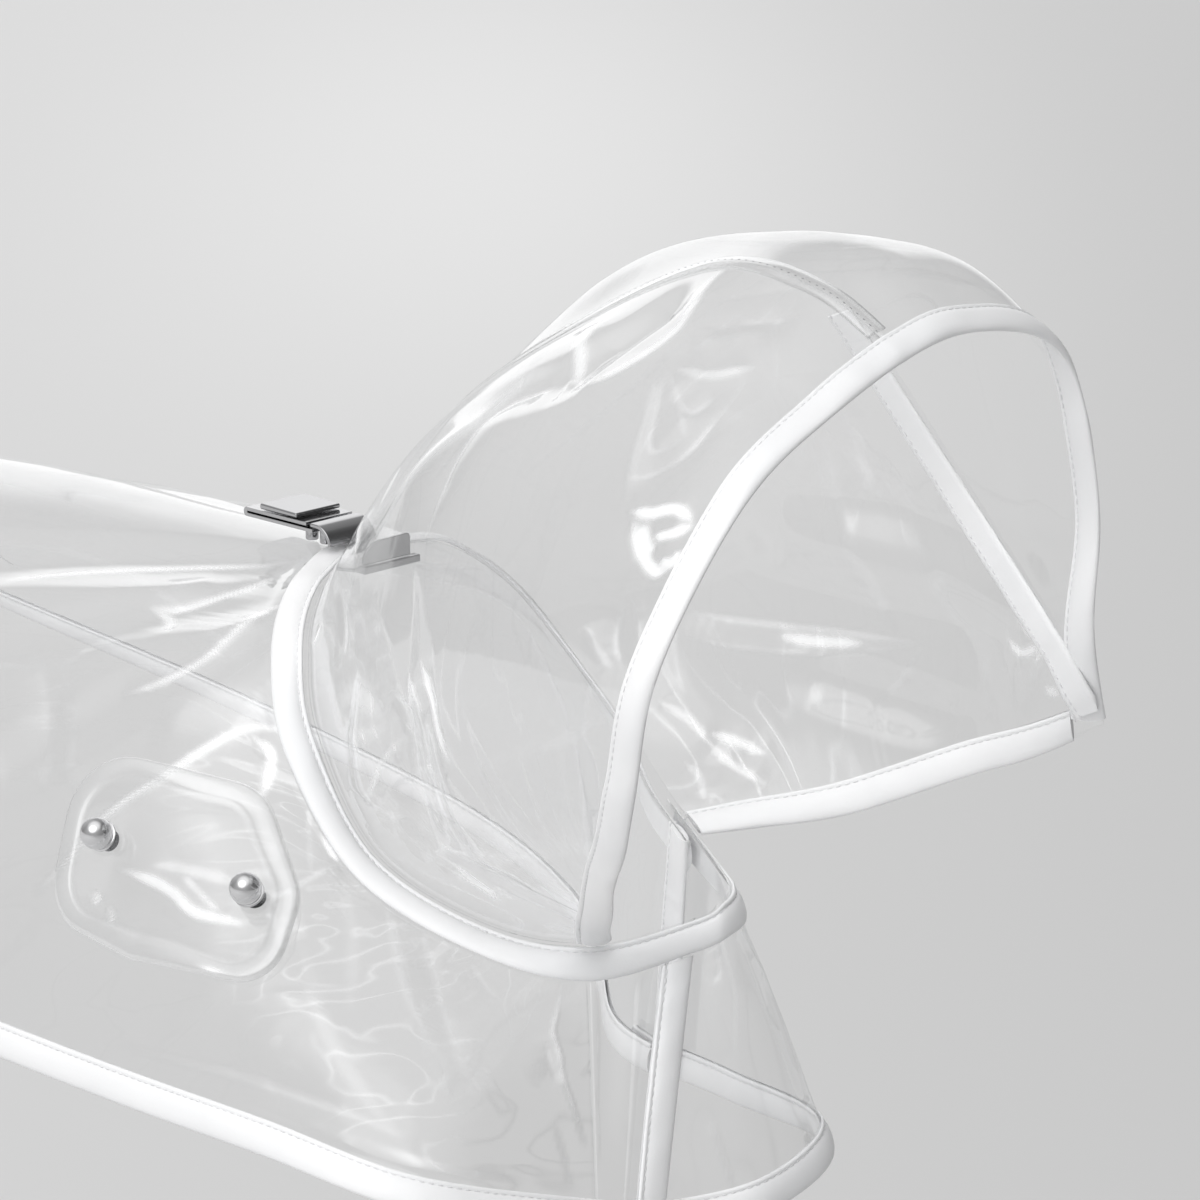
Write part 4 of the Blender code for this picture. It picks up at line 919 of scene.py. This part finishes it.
def insideSeat(tree, point):
    # the film met from the hood's middle, and the way into the hood there
    centre = np.array((point[0], 0.0, min(point[2], seamTape["centreTop"])))
    way = unit(point - centre)
    hit = tree.ray_cast(Vector(centre), Vector(way))
    if hit[0] is None:
        hit = tree.find_nearest(Vector(point))
    normal = np.array(hit[1])
    return np.array(hit[0]), normal if normal @ way < 0 else -normal


def makeSeamTape():
    tree = treeOf(panels["hoodLeft"])
    path = seamLine(tree, seamTape["stations"])
    crown = np.array(seamTape["crown"]) * seamTape["thick"]
    climbStart, climbEnd = seamTape["climbs"]
    rings, stitches = [], []
    for share, point, run in zip(np.linspace(0, 1, len(path)), path, np.gradient(path, axis=0)):
        # over the face binding at the corner
        lift = seamTape["lift"] + seamTape["climb"] * np.clip((share - climbStart) / (climbEnd - climbStart), 0, 1)
        seat, normal = insideSeat(tree, point)
        across = unit(np.cross(run, normal)) * seamTape["width"]
        seats = [insideSeat(tree, seat + across * part) for part in seamTape["across"]]
        low = [spot + way * lift for spot, way in seats]
        high = [spot + way * (lift + height) for (spot, way), height in zip(seats, crown)]
        rings.append(low + high[::-1])
        facing = seats[seamTape["stitch"]][1]
        stitches.append((high[seamTape["stitch"]] + facing * seamTape["stitchLift"], facing))
    stitchRows.append([np.array(part) for part in zip(*stitches)])
    tapePiece("tapeSeamLeft", rings, "hood_seam_tape_left")


makeSeamTape()
print("seam tape made")


def pathMesh(name, rows):
    points, edges, ways = [], [], []
    for path, facing in rows:
        first = len(points)
        points += [tuple(point * mm) for point in path]
        ways += [tuple(way) for way in facing]
        edges += [(first + k, first + k + 1) for k in range(len(path) - 1)]
    mesh = bpy.data.meshes.new(name)
    mesh.from_pydata(points, edges, [])
    mark = mesh.attributes.new("facing", "FLOAT_VECTOR", "POINT")
    mark.data.foreach_set("vector", np.array(ways, np.float32).ravel())
    return placed(name, mesh)


def stitchTree(name, material, bead):
    # beads laid along a path by Geometry Nodes, for stitches and needle holes
    tree = bpy.data.node_groups.new(name, "GeometryNodeTree")
    for label, flow, kind in (("Geometry", "INPUT", "Geometry"), ("Pitch", "INPUT", "Float"),
                              ("Length", "INPUT", "Float"), ("Width", "INPUT", "Float"),
                              ("Height", "INPUT", "Float"), ("Geometry", "OUTPUT", "Geometry")):
        tree.interface.new_socket(label, in_out=flow, socket_type="NodeSocket" + kind)

    def output(kind, feeds=None, **settings):
        return newNode(tree, kind, feeds, **settings).outputs[0]

    start = newNode(tree, "NodeGroupInput").outputs
    curve = output("GeometryNodeMeshToCurve", {0: start["Geometry"]})
    even = output("GeometryNodeResampleCurve", {"Curve": curve, "Length": start["Pitch"]}, mode="LENGTH")
    ball = output("GeometryNodeMeshUVSphere", {"Segments": bead[0], "Rings": bead[1], "Radius": 0.5})
    size = output("ShaderNodeCombineXYZ", {0: start["Length"], 1: start["Width"], 2: start["Height"]})
    scaled = output("GeometryNodeTransform", {"Geometry": ball, "Scale": size})
    facing = newNode(tree, "GeometryNodeInputNamedAttribute", {"Name": "facing"}, data_type="FLOAT_VECTOR")
    along = output("FunctionNodeAlignRotationToVector", {"Vector": output("GeometryNodeInputTangent")}, axis="X")
    upright = output("FunctionNodeAlignRotationToVector",
                     {"Rotation": along, "Vector": facing.outputs["Attribute"]}, axis="Z", pivot_axis="X")
    spread = output("GeometryNodeInstanceOnPoints", {"Points": even, "Instance": scaled, "Rotation": upright})
    solid = output("GeometryNodeRealizeInstances", {0: spread})
    smooth = output("GeometryNodeSetShadeSmooth", {"Geometry": solid})
    paint = output("GeometryNodeSetMaterial", {"Geometry": smooth, "Material": material})
    newNode(tree, "NodeGroupOutput", {"Geometry": paint})
    return tree


def laidAlong(name, rows, tree, sizes):
    guide = pathMesh(name + "Guide", rows)
    layer = guide.modifiers.new("stitches", "NODES")
    layer.node_group = tree
    for socket in tree.interface.items_tree:
        if socket.in_out == "INPUT" and socket.name in sizes:
            layer[socket.identifier] = sizes[socket.name] * mm
    seen = guide.evaluated_get(bpy.context.evaluated_depsgraph_get())
    mesh = bpy.data.meshes.new_from_object(seen)
    mesh.name = name
    bpy.data.objects.remove(guide)
    settled(placed(name, mesh))


# side patch: a thin moulded plate with a welded rim, over the film
patch = {"middle": (38.0, -111.0, -78.0), "heading": 15.0, "plate": 1.0, "rimHeight": 1.8, "lift": 0.8,
         "corner": 21.0, "probe": 25.0, "rimWhite": 0.28, "edgeWhite": 0.45, "glintAt": 27.0, "glintReach": 9.0,
         "outline": ((-50.0, 36.0), (20.0, 33.0), (46.0, 0.0), (48.0, -33.0), (-8.0, -31.0), (-48.0, -20.0))}
stud = {"ball": 5.3, "rise": 3.5, "places": ((-31.0, 7.0), (29.0, -3.0)), "neck": 3.6, "flange": 5.2, "cap": 3.6,
        "turns": 48, "seat": 0.4, "capSeat": 0.65}


class PatchSeat:
    def __init__(self):
        turn = math.radians(patch["heading"])
        plain = flatGrids["back"]
        self.tree = treeOf(plain - gridNormals(plain, 1) * foldDepth(plain, "back")[..., None])
        self.middle = np.array(patch["middle"])
        self.forward = np.array((math.cos(turn), math.sin(turn), 0.0))
        self.out = np.array((math.sin(turn), -math.cos(turn), 0.0))
        self.up = np.array((0.0, 0.0, 1.0))
        around = np.linspace(0.0, 2 * math.pi, 8, endpoint=False)
        mean = sum(self.film(patch["probe"] * math.cos(k), patch["probe"] * math.sin(k))[1] for k in around)
        self.out = unit(mean)
        self.forward = unit(self.forward - self.out * (self.forward @ self.out))
        self.up = np.cross(self.out, self.forward)
        flat = [tuple(point * share) for point in roundedOutline(patch["outline"], patch["corner"], 5)
                for share in np.linspace(0.05, 1.02, 24)]
        heights = np.array([(self.film(a, b)[0] - self.middle) @ self.out for a, b in flat])
        terms = np.array([self.bend(a, b) for a, b in flat])
        self.fit = np.linalg.lstsq(terms, heights, rcond=None)[0]
        self.lift = float(np.max(heights - terms @ self.fit)) + patch["lift"]

    def film(self, a, b):
        start = self.middle + self.forward * a + self.up * b + self.out * 60.0
        point, normal, _, _ = self.tree.ray_cast(Vector(start), Vector(-self.out))
        normal = np.array(normal)
        return np.array(point), normal if normal @ self.out > 0 else -normal

    @staticmethod
    def bend(a, b):
        return (1.0, a, b, a * a, a * b, b * b)

    def at(self, a, b, height=0.0):
        rise = float(np.dot(self.bend(a, b), self.fit)) + self.lift + height
        return self.middle + self.forward * a + self.up * b + self.out * rise

    def normal(self, a, b):
        return unit(np.cross(self.at(a + 2, b) - self.at(a - 2, b), self.at(a, b + 2) - self.at(a, b - 2)))


def roundedOutline(corners, radius, perCorner):
    points = []
    corners = np.array(corners, float)
    for before, corner, after in zip(np.roll(corners, 1, axis=0), corners, np.roll(corners, -1, axis=0)):
        armIn, armOut = unit(before - corner), unit(after - corner)
        half = math.acos(np.clip(armIn @ armOut, -1, 1)) / 2
        shorter = min(np.linalg.norm(before - corner), np.linalg.norm(after - corner))
        reach = min(radius / math.tan(half), 0.45 * shorter)
        ease = reach * math.tan(half)
        centre = corner + unit(armIn + armOut) * ease / math.sin(half)
        start, end = corner + armIn * reach - centre, corner + armOut * reach - centre
        turn = math.atan2(start[0] * end[1] - start[1] * end[0], start @ end)
        for angle in np.linspace(0, turn, perCorner):
            c, s = math.cos(angle), math.sin(angle)
            points.append(centre + np.array((start[0] * c - start[1] * s, start[0] * s + start[1] * c)))
    return np.array(points)


def makePatch(seat):
    outline = roundedOutline(patch["outline"], patch["corner"], 8)
    line = evenLine(np.concatenate((outline, outline[:1])), 150)[:-1]
    reach = np.linalg.norm(line, axis=1)
    flat, rim = patch["plate"], patch["rimHeight"]
    top = [(0.0, 0.2), (0.25, flat), (0.9, rim), (2.2, rim + 0.15), (4.5, rim), (6.2, rim - 0.2), (7.0, flat + 0.35),
           (7.8, flat), (10.0, flat)]  # inset from the edge, height
    centre = 1 - 10.0 / reach
    rings = [(centre * part, 0.0) for part in (0.06, 0.5)] + [(np.ones(len(line)), 0.0)]
    rings += [(1 - inset / reach, height) for inset, height in top]
    rings += [(centre * part, flat) for part in np.linspace(0.9, 0.06, 13)]
    points = [seat.at(*(spot * part), height) for share, height in rings for spot, part in zip(line, share)]
    faces = gridFaces(len(rings), len(line), -1, True)
    last = (len(rings) - 1) * len(line)
    faces += [tuple(range(len(line)))[::-1], tuple(range(last, last + len(line)))]
    piece = meshFrom("sidePatch", points, faces, "patch")
    pale = np.zeros((len(rings), len(line)))
    pale[3:11] = patch["rimWhite"]
    pale[3:5] = patch["edgeWhite"]
    # glint: a painted highlight on the lower rim, kept in the same mark as the rim's milky white
    glint = np.clip(1 - np.abs(line[:, 0] - patch["glintAt"]) / patch["glintReach"], 0, 1) * (line[:, 1] < -20)
    pale[6] = np.maximum(patch["rimWhite"], glint)
    marked(piece, "paleAndHighlight", pale)
    settled(piece, "patch_right")


def steelPiece(name, node, shape, sharpFrom, finish="steel"):
    mesh = bpy.data.meshes.new(name)
    shape.to_mesh(mesh)
    shape.free()
    mesh.shade_smooth()
    mesh.set_sharp_from_angle(angle=math.radians(sharpFrom))
    mesh.materials.append(looks[finish])
    return settled(placed(name, mesh), node)


def turnedPiece(name, node, profile, point, normal, finish="steel"):
    shape = bmesh.new()
    verts = [shape.verts.new((r * mm, 0, h * mm)) for r, h in profile]
    edges = [shape.edges.new(pair) for pair in zip(verts, verts[1:])]
    bmesh.ops.spin(shape, geom=verts + edges, axis=(0, 0, 1), cent=(0, 0, 0), angle=2 * math.pi,
                   steps=stud["turns"], use_merge=True)
    bmesh.ops.remove_doubles(shape, verts=shape.verts, dist=1e-6)
    bmesh.ops.recalc_face_normals(shape, faces=shape.faces)
    turn = Vector(normal).to_track_quat("Z", "Y").to_matrix().to_4x4()
    bmesh.ops.transform(shape, matrix=Matrix.Translation(Vector(point * mm)) @ turn, verts=shape.verts)
    steelPiece(name, node, shape, 50, finish)


def makeStuds(seat):
    ball, flange, centre = stud["ball"], stud["flange"], stud["rise"]
    low = math.asin(stud["neck"] / ball)
    knob = [(ball * math.sin(a), centre + ball * math.cos(a)) for a in np.linspace(0.0, math.pi - low, 22)]
    knob += [(flange - 1.0, 0.75), (flange - 0.3, 0.65), (flange, 0.4), (flange, 0.0), (0.0, 0.0)]
    cap = [(0.0, 1.2), (1.1, 1.17), (2.0, 1.0), (2.9, 0.7), (3.4, 0.35), (stud["cap"], 0.0), (0.0, 0.0)]
    for place, (a, b) in zip(("Rear", "Front"), stud["places"]):
        node = "right_" + place.lower()
        foot = seat.at(a, b, patch["plate"] + stud["seat"])
        turnedPiece("ballStud" + place, "ball_stud_" + node, knob, foot, seat.normal(a, b), "ball")
        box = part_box("stud_cap_" + node)
        inside = (np.array(box[0]) + np.array(box[1])) / 2 / mm
        normal = seat.film(a, b)[1]
        turnedPiece("studCap" + place, "stud_cap_" + node, cap, inside + normal * stud["capSeat"], -normal)


seat = PatchSeat()
makePatch(seat)
makeStuds(seat)
print("patch and studs made")

# nape clasp: side outlines (x, z) of bent and stamped plates
clasp = {"width": 21.0, "rear": -41.0, "front": -7.0, "level": 8.2, "sheet": 1.2, "gap": 0.7, "rollRadius": 7.5,
         "rollWall": 1.3, "rollTurn": 1.45, "rollLap": 2.6, "rollAt": 1.4, "posts": {"Rear": -18.5, "Front": -11.5},
         "inner": ((-10.0, -3.95), (16.0, -1.0), (20.2, -1.0), (20.2, 1.6), (17.4, 1.6), (15.0, 0.2), (-10.0, -2.75)),
         "wing": ((1.9, -11.3), (4.2, -11.0), (6.6, -9.6), (8.4, -7.2), (9.3, -4.0), (9.5, 8.6), (9.1, 9.6),
                  (8.1, 10.0), (1.9, 10.0))}


def plateFrom(name, node, outline, low, high, ease, turned=False):
    # a side outline (x, z) between two widths, or turned: an outline (z, y) between two places along x
    shape = bmesh.new()
    rings = [[shape.verts.new((w * mm, b * mm, a * mm) if turned else (a * mm, w * mm, b * mm)) for a, b in outline]
             for w in (low, high)]
    for k in range(len(outline)):
        after = (k + 1) % len(outline)
        shape.faces.new((rings[0][k], rings[0][after], rings[1][after], rings[1][k]))
    shape.faces.new(rings[0])
    shape.faces.new(rings[1][::-1])
    bmesh.ops.recalc_face_normals(shape, faces=shape.faces)
    bevel = steelPiece(name, node, shape, 40).modifiers.new("eased edges", "BEVEL")
    bevel.width = ease * mm
    bevel.segments = 3
    bevel.limit_method = "ANGLE"
    bevel.angle_limit = math.radians(35)
    bevel.harden_normals = True


def arc(cx, cz, radius, tall, angles):
    return [(cx + radius * math.sin(a), cz + tall * math.cos(a)) for a in angles]


def makeClasp():
    half = clasp["width"] / 2
    low, high, z0, sheet = clasp["rear"], clasp["front"], clasp["level"], clasp["sheet"]
    z1 = z0 + sheet
    z2 = z1 + clasp["gap"]
    z3 = z2 + sheet
    bend = arc(low + sheet, (z0 + z3) / 2, -sheet, (z3 - z0) / 2, np.linspace(0, math.pi, 13))
    slot = arc(low + 2.0, z1 + 0.35, -0.35, -0.35, np.linspace(0.3, math.pi - 0.3, 5))
    base = [(high, z0), (high, z1)] + slot + [(high - 3.0, z2), (high - 3.0, z3)] + bend
    plateFrom("claspBase", "clasp_base", base, -half, half, 0.18)
    tile = [(low + 7.5, z3 + 0.3), (low + 25.5, z3 + 0.3), (low + 25.5, z3 + 1.9), (low + 7.5, z3 + 2.3)]
    plateFrom("claspTile", "clasp_tile", tile, -half + 0.5, half - 0.2, 0.6)
    radius, within = clasp["rollRadius"], clasp["rollRadius"] - clasp["rollWall"]
    cx, cz = high + clasp["rollAt"], z3 - radius
    outer = arc(cx, cz, radius, radius, np.linspace(0, clasp["rollTurn"], 25))
    inner = arc(cx, cz, within, within, np.linspace(clasp["rollTurn"], 0, 25))
    roll = [(cx - clasp["rollLap"], cz + radius)] + outer + inner + [(cx - clasp["rollLap"], cz + within)]
    plateFrom("claspRoll", "clasp_roll", roll, -half, half, 0.4)
    plateFrom("claspInner", "clasp_inner", clasp["inner"], -11.9, 13.4, 0.45)
    plateFrom("claspInnerWing", None, clasp["wing"], 17.6, 18.9, 0.3, turned=True)
    for place, x in clasp["posts"].items():
        node = "clasp_post_" + place.lower()
        bottom, top = (corner[2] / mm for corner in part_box(node))
        post = [(0.0, top), (1.9, top), (2.2, top - 0.3), (2.2, bottom + 0.3), (1.9, bottom), (0.0, bottom)]
        turnedPiece("claspPost" + place, node, post, np.array((x, 0.0, 0.0)), (0, 0, 1))


makeClasp()
print("clasp made")

# crown seam: the two halves' edges sewn through, seen as a paler strip with needle holes drawn as dark beads of
# painted shade
crownSeam = {"reach": 3.6, "fold": 1.8, "lift": 0.35, "thick": 0.5, "crown": (0.0, 0.45, 0.9, 0.9, 0.45, 0.0),
             "holeLift": 1.35}
stitch = {"Pitch": 3.0, "Length": 2.1, "Width": 0.55, "Height": 0.4}
needleHole = {"Pitch": 3.0, "Length": 1.1, "Width": 0.35, "Height": 0.2}


def makeCrownSeam():
    right, left = (fanAt(*fanFrom(panel, "vStart", 0, -5), (0.0, crownSeam["fold"], crownSeam["reach"]))
                   for panel in ("hoodRight", "hoodLeft"))
    spots, ways = (np.concatenate((near[:, ::-1], far), axis=1) for near, far in zip(right, left))
    tall = np.array(crownSeam["crown"])[None, :, None]
    top = spots + ways * (crownSeam["lift"] + crownSeam["thick"] * (1 + tall))
    low = spots + ways * crownSeam["lift"]
    rings = np.concatenate((top, low[:, ::-1]), axis=1)
    settled(closedLoft("crownSeam", rings, "seamFilm", turn=-1))
    return (spots[:, 2] + spots[:, 3]) / 2 + ways[:, 2] * crownSeam["holeLift"], ways[:, 2]


holeRow = makeCrownSeam()
laidAlong("stitches", stitchRows, stitchTree("stitch row", looks["thread"], (8, 5)), stitch)
laidAlong("needleHoleShade", [holeRow], stitchTree("needle row", looks["hole"], (6, 4)), needleHole)
print("stitches laid")

# stage: pale floor whose glow is painted light, brighter towards the upper left and with a painted pool of light
# behind, two round softboxes, and a studio room to reflect
stage = {"floor": -0.62, "floorReach": 14.0, "floorTone": 0.36, "floorGlow": 0.2775,
         "floorSlope": (-0.0776, -0.0472, 0.0), "floorLeast": 0.2, "floorMost": 0.44,
         "pool": {"middle": (-2.633, 2.633), "across": 0.4, "away": 1.4, "glow": 0.141},
         "horizon": 0.30, "sky": 0.36, "skyFrom": 0.08, "skyTo": 0.5, "darkest": 0.05}
# the way to each softbox, its distance, width and power
lamps = {"key": ((0.123, -0.377, 0.923), 1.9, 3.0, 16.5), "fill": ((0.15, -0.98, 0.05), 2.2, 3.0, 18.5)}
# the room in the film's reflections: which way, from and to what cosine it fades in, how bright (below 0 darker)
walls = (
    ((0.10, -0.38, 0.92), 0.62, 0.97, 0.75),
    ((-0.72, 0.66, 0.16), 0.87, 0.965, 0.80),
    ((0.18, -0.69, 0.69), 0.86, 0.92, 0.7),
    ((-0.72, 0.42, 0.52), 0.50, 0.97, 0.18),
    ((0.15, -0.98, 0.05), 0.30, 0.95, 0.16),
    ((-0.35, 0.74, 0.58), 0.74, 0.99, -0.16),
    ((0.66, 0.62, 0.42), 0.70, 0.96, -0.26),
)


def makeStage():
    reach, level, pool = stage["floorReach"], stage["floor"], stage["pool"]
    material, tree = newMaterial("pale floor")
    place = objectPlace(tree)
    glow = mathNode(tree, "ADD", dotNode(tree, place, stage["floorSlope"]), stage["floorGlow"])
    glow = mathNode(tree, "MINIMUM", mathNode(tree, "MAXIMUM", glow, stage["floorLeast"]), stage["floorMost"])
    # a painted soft pool of light on the floor behind
    centred = newNode(tree, "ShaderNodeMapping", {
        "Vector": place, "Location": (*pool["middle"], level), "Rotation": (0.0, 0.0, math.radians(view["azimuth"])),
        "Scale": (pool["across"], pool["away"], 1.0)}, vector_type="TEXTURE").outputs["Vector"]
    away = mathNode(tree, "MULTIPLY", dotNode(tree, centred, centred), -1.0)
    fall = mathNode(tree, "MULTIPLY", mathNode(tree, "POWER", math.e, away), pool["glow"])
    surface(tree, {
        "Emission Color": mathNode(tree, "ADD", glow, fall, clamp=True), "Emission Strength": 1.0,
        "Base Color": (stage["floorTone"],) * 3 + (1,), "Roughness": 0.9, "Specular IOR Level": 0.1})
    mesh = bpy.data.meshes.new("floor")
    mesh.from_pydata([(-reach, -reach, level), (reach, -reach, level), (reach, reach, level), (-reach, reach, level)],
                     [], [(0, 1, 2, 3)])
    mesh.materials.append(material)
    placed("floor", mesh)


def softbox(name, way, distance, size, power):
    lamp = bpy.data.lights.new(name, "AREA")
    lamp.shape = "DISK"
    lamp.size = size
    lamp.energy = power
    thing = placed(name, lamp)
    way = Vector(way).normalized()
    thing.location = way * distance
    thing.rotation_euler = way.to_track_quat("Z", "Y").to_euler()
    thing.visible_glossy = False


def fadeNode(tree, value, start, end, low, high):
    feeds = {"Value": value, "From Min": start, "From Max": end, "To Min": low, "To Max": high}
    return newNode(tree, "ShaderNodeMapRange", feeds, interpolation_type="SMOOTHSTEP").outputs["Result"]


def makeRoom():
    world = bpy.data.worlds.new("studio")
    bpy.context.scene.world = world
    world.use_nodes = True
    tree = world.node_tree
    tree.nodes.clear()
    place = newNode(tree, "ShaderNodeTexCoord").outputs["Generated"]
    rise = newNode(tree, "ShaderNodeSeparateXYZ", {0: place}).outputs["Z"]
    level = fadeNode(tree, rise, stage["skyFrom"], stage["skyTo"], stage["horizon"], stage["sky"])
    for way, start, end, amount in walls:
        wall = fadeNode(tree, dotNode(tree, place, Vector(way).normalized()), start, end, 0.0, amount)
        level = mathNode(tree, "MAXIMUM", mathNode(tree, "ADD", level, wall), stage["darkest"])
    room = newNode(tree, "ShaderNodeBackground", {"Color": level})
    newNode(tree, "ShaderNodeOutputWorld", {"Surface": room.outputs[0]})


makeStage()
makeRoom()
for name, (way, distance, size, power) in lamps.items():
    softbox(name, way, distance, size, power)
bpy.context.scene.view_settings.view_transform = "Standard"
print("stage set")
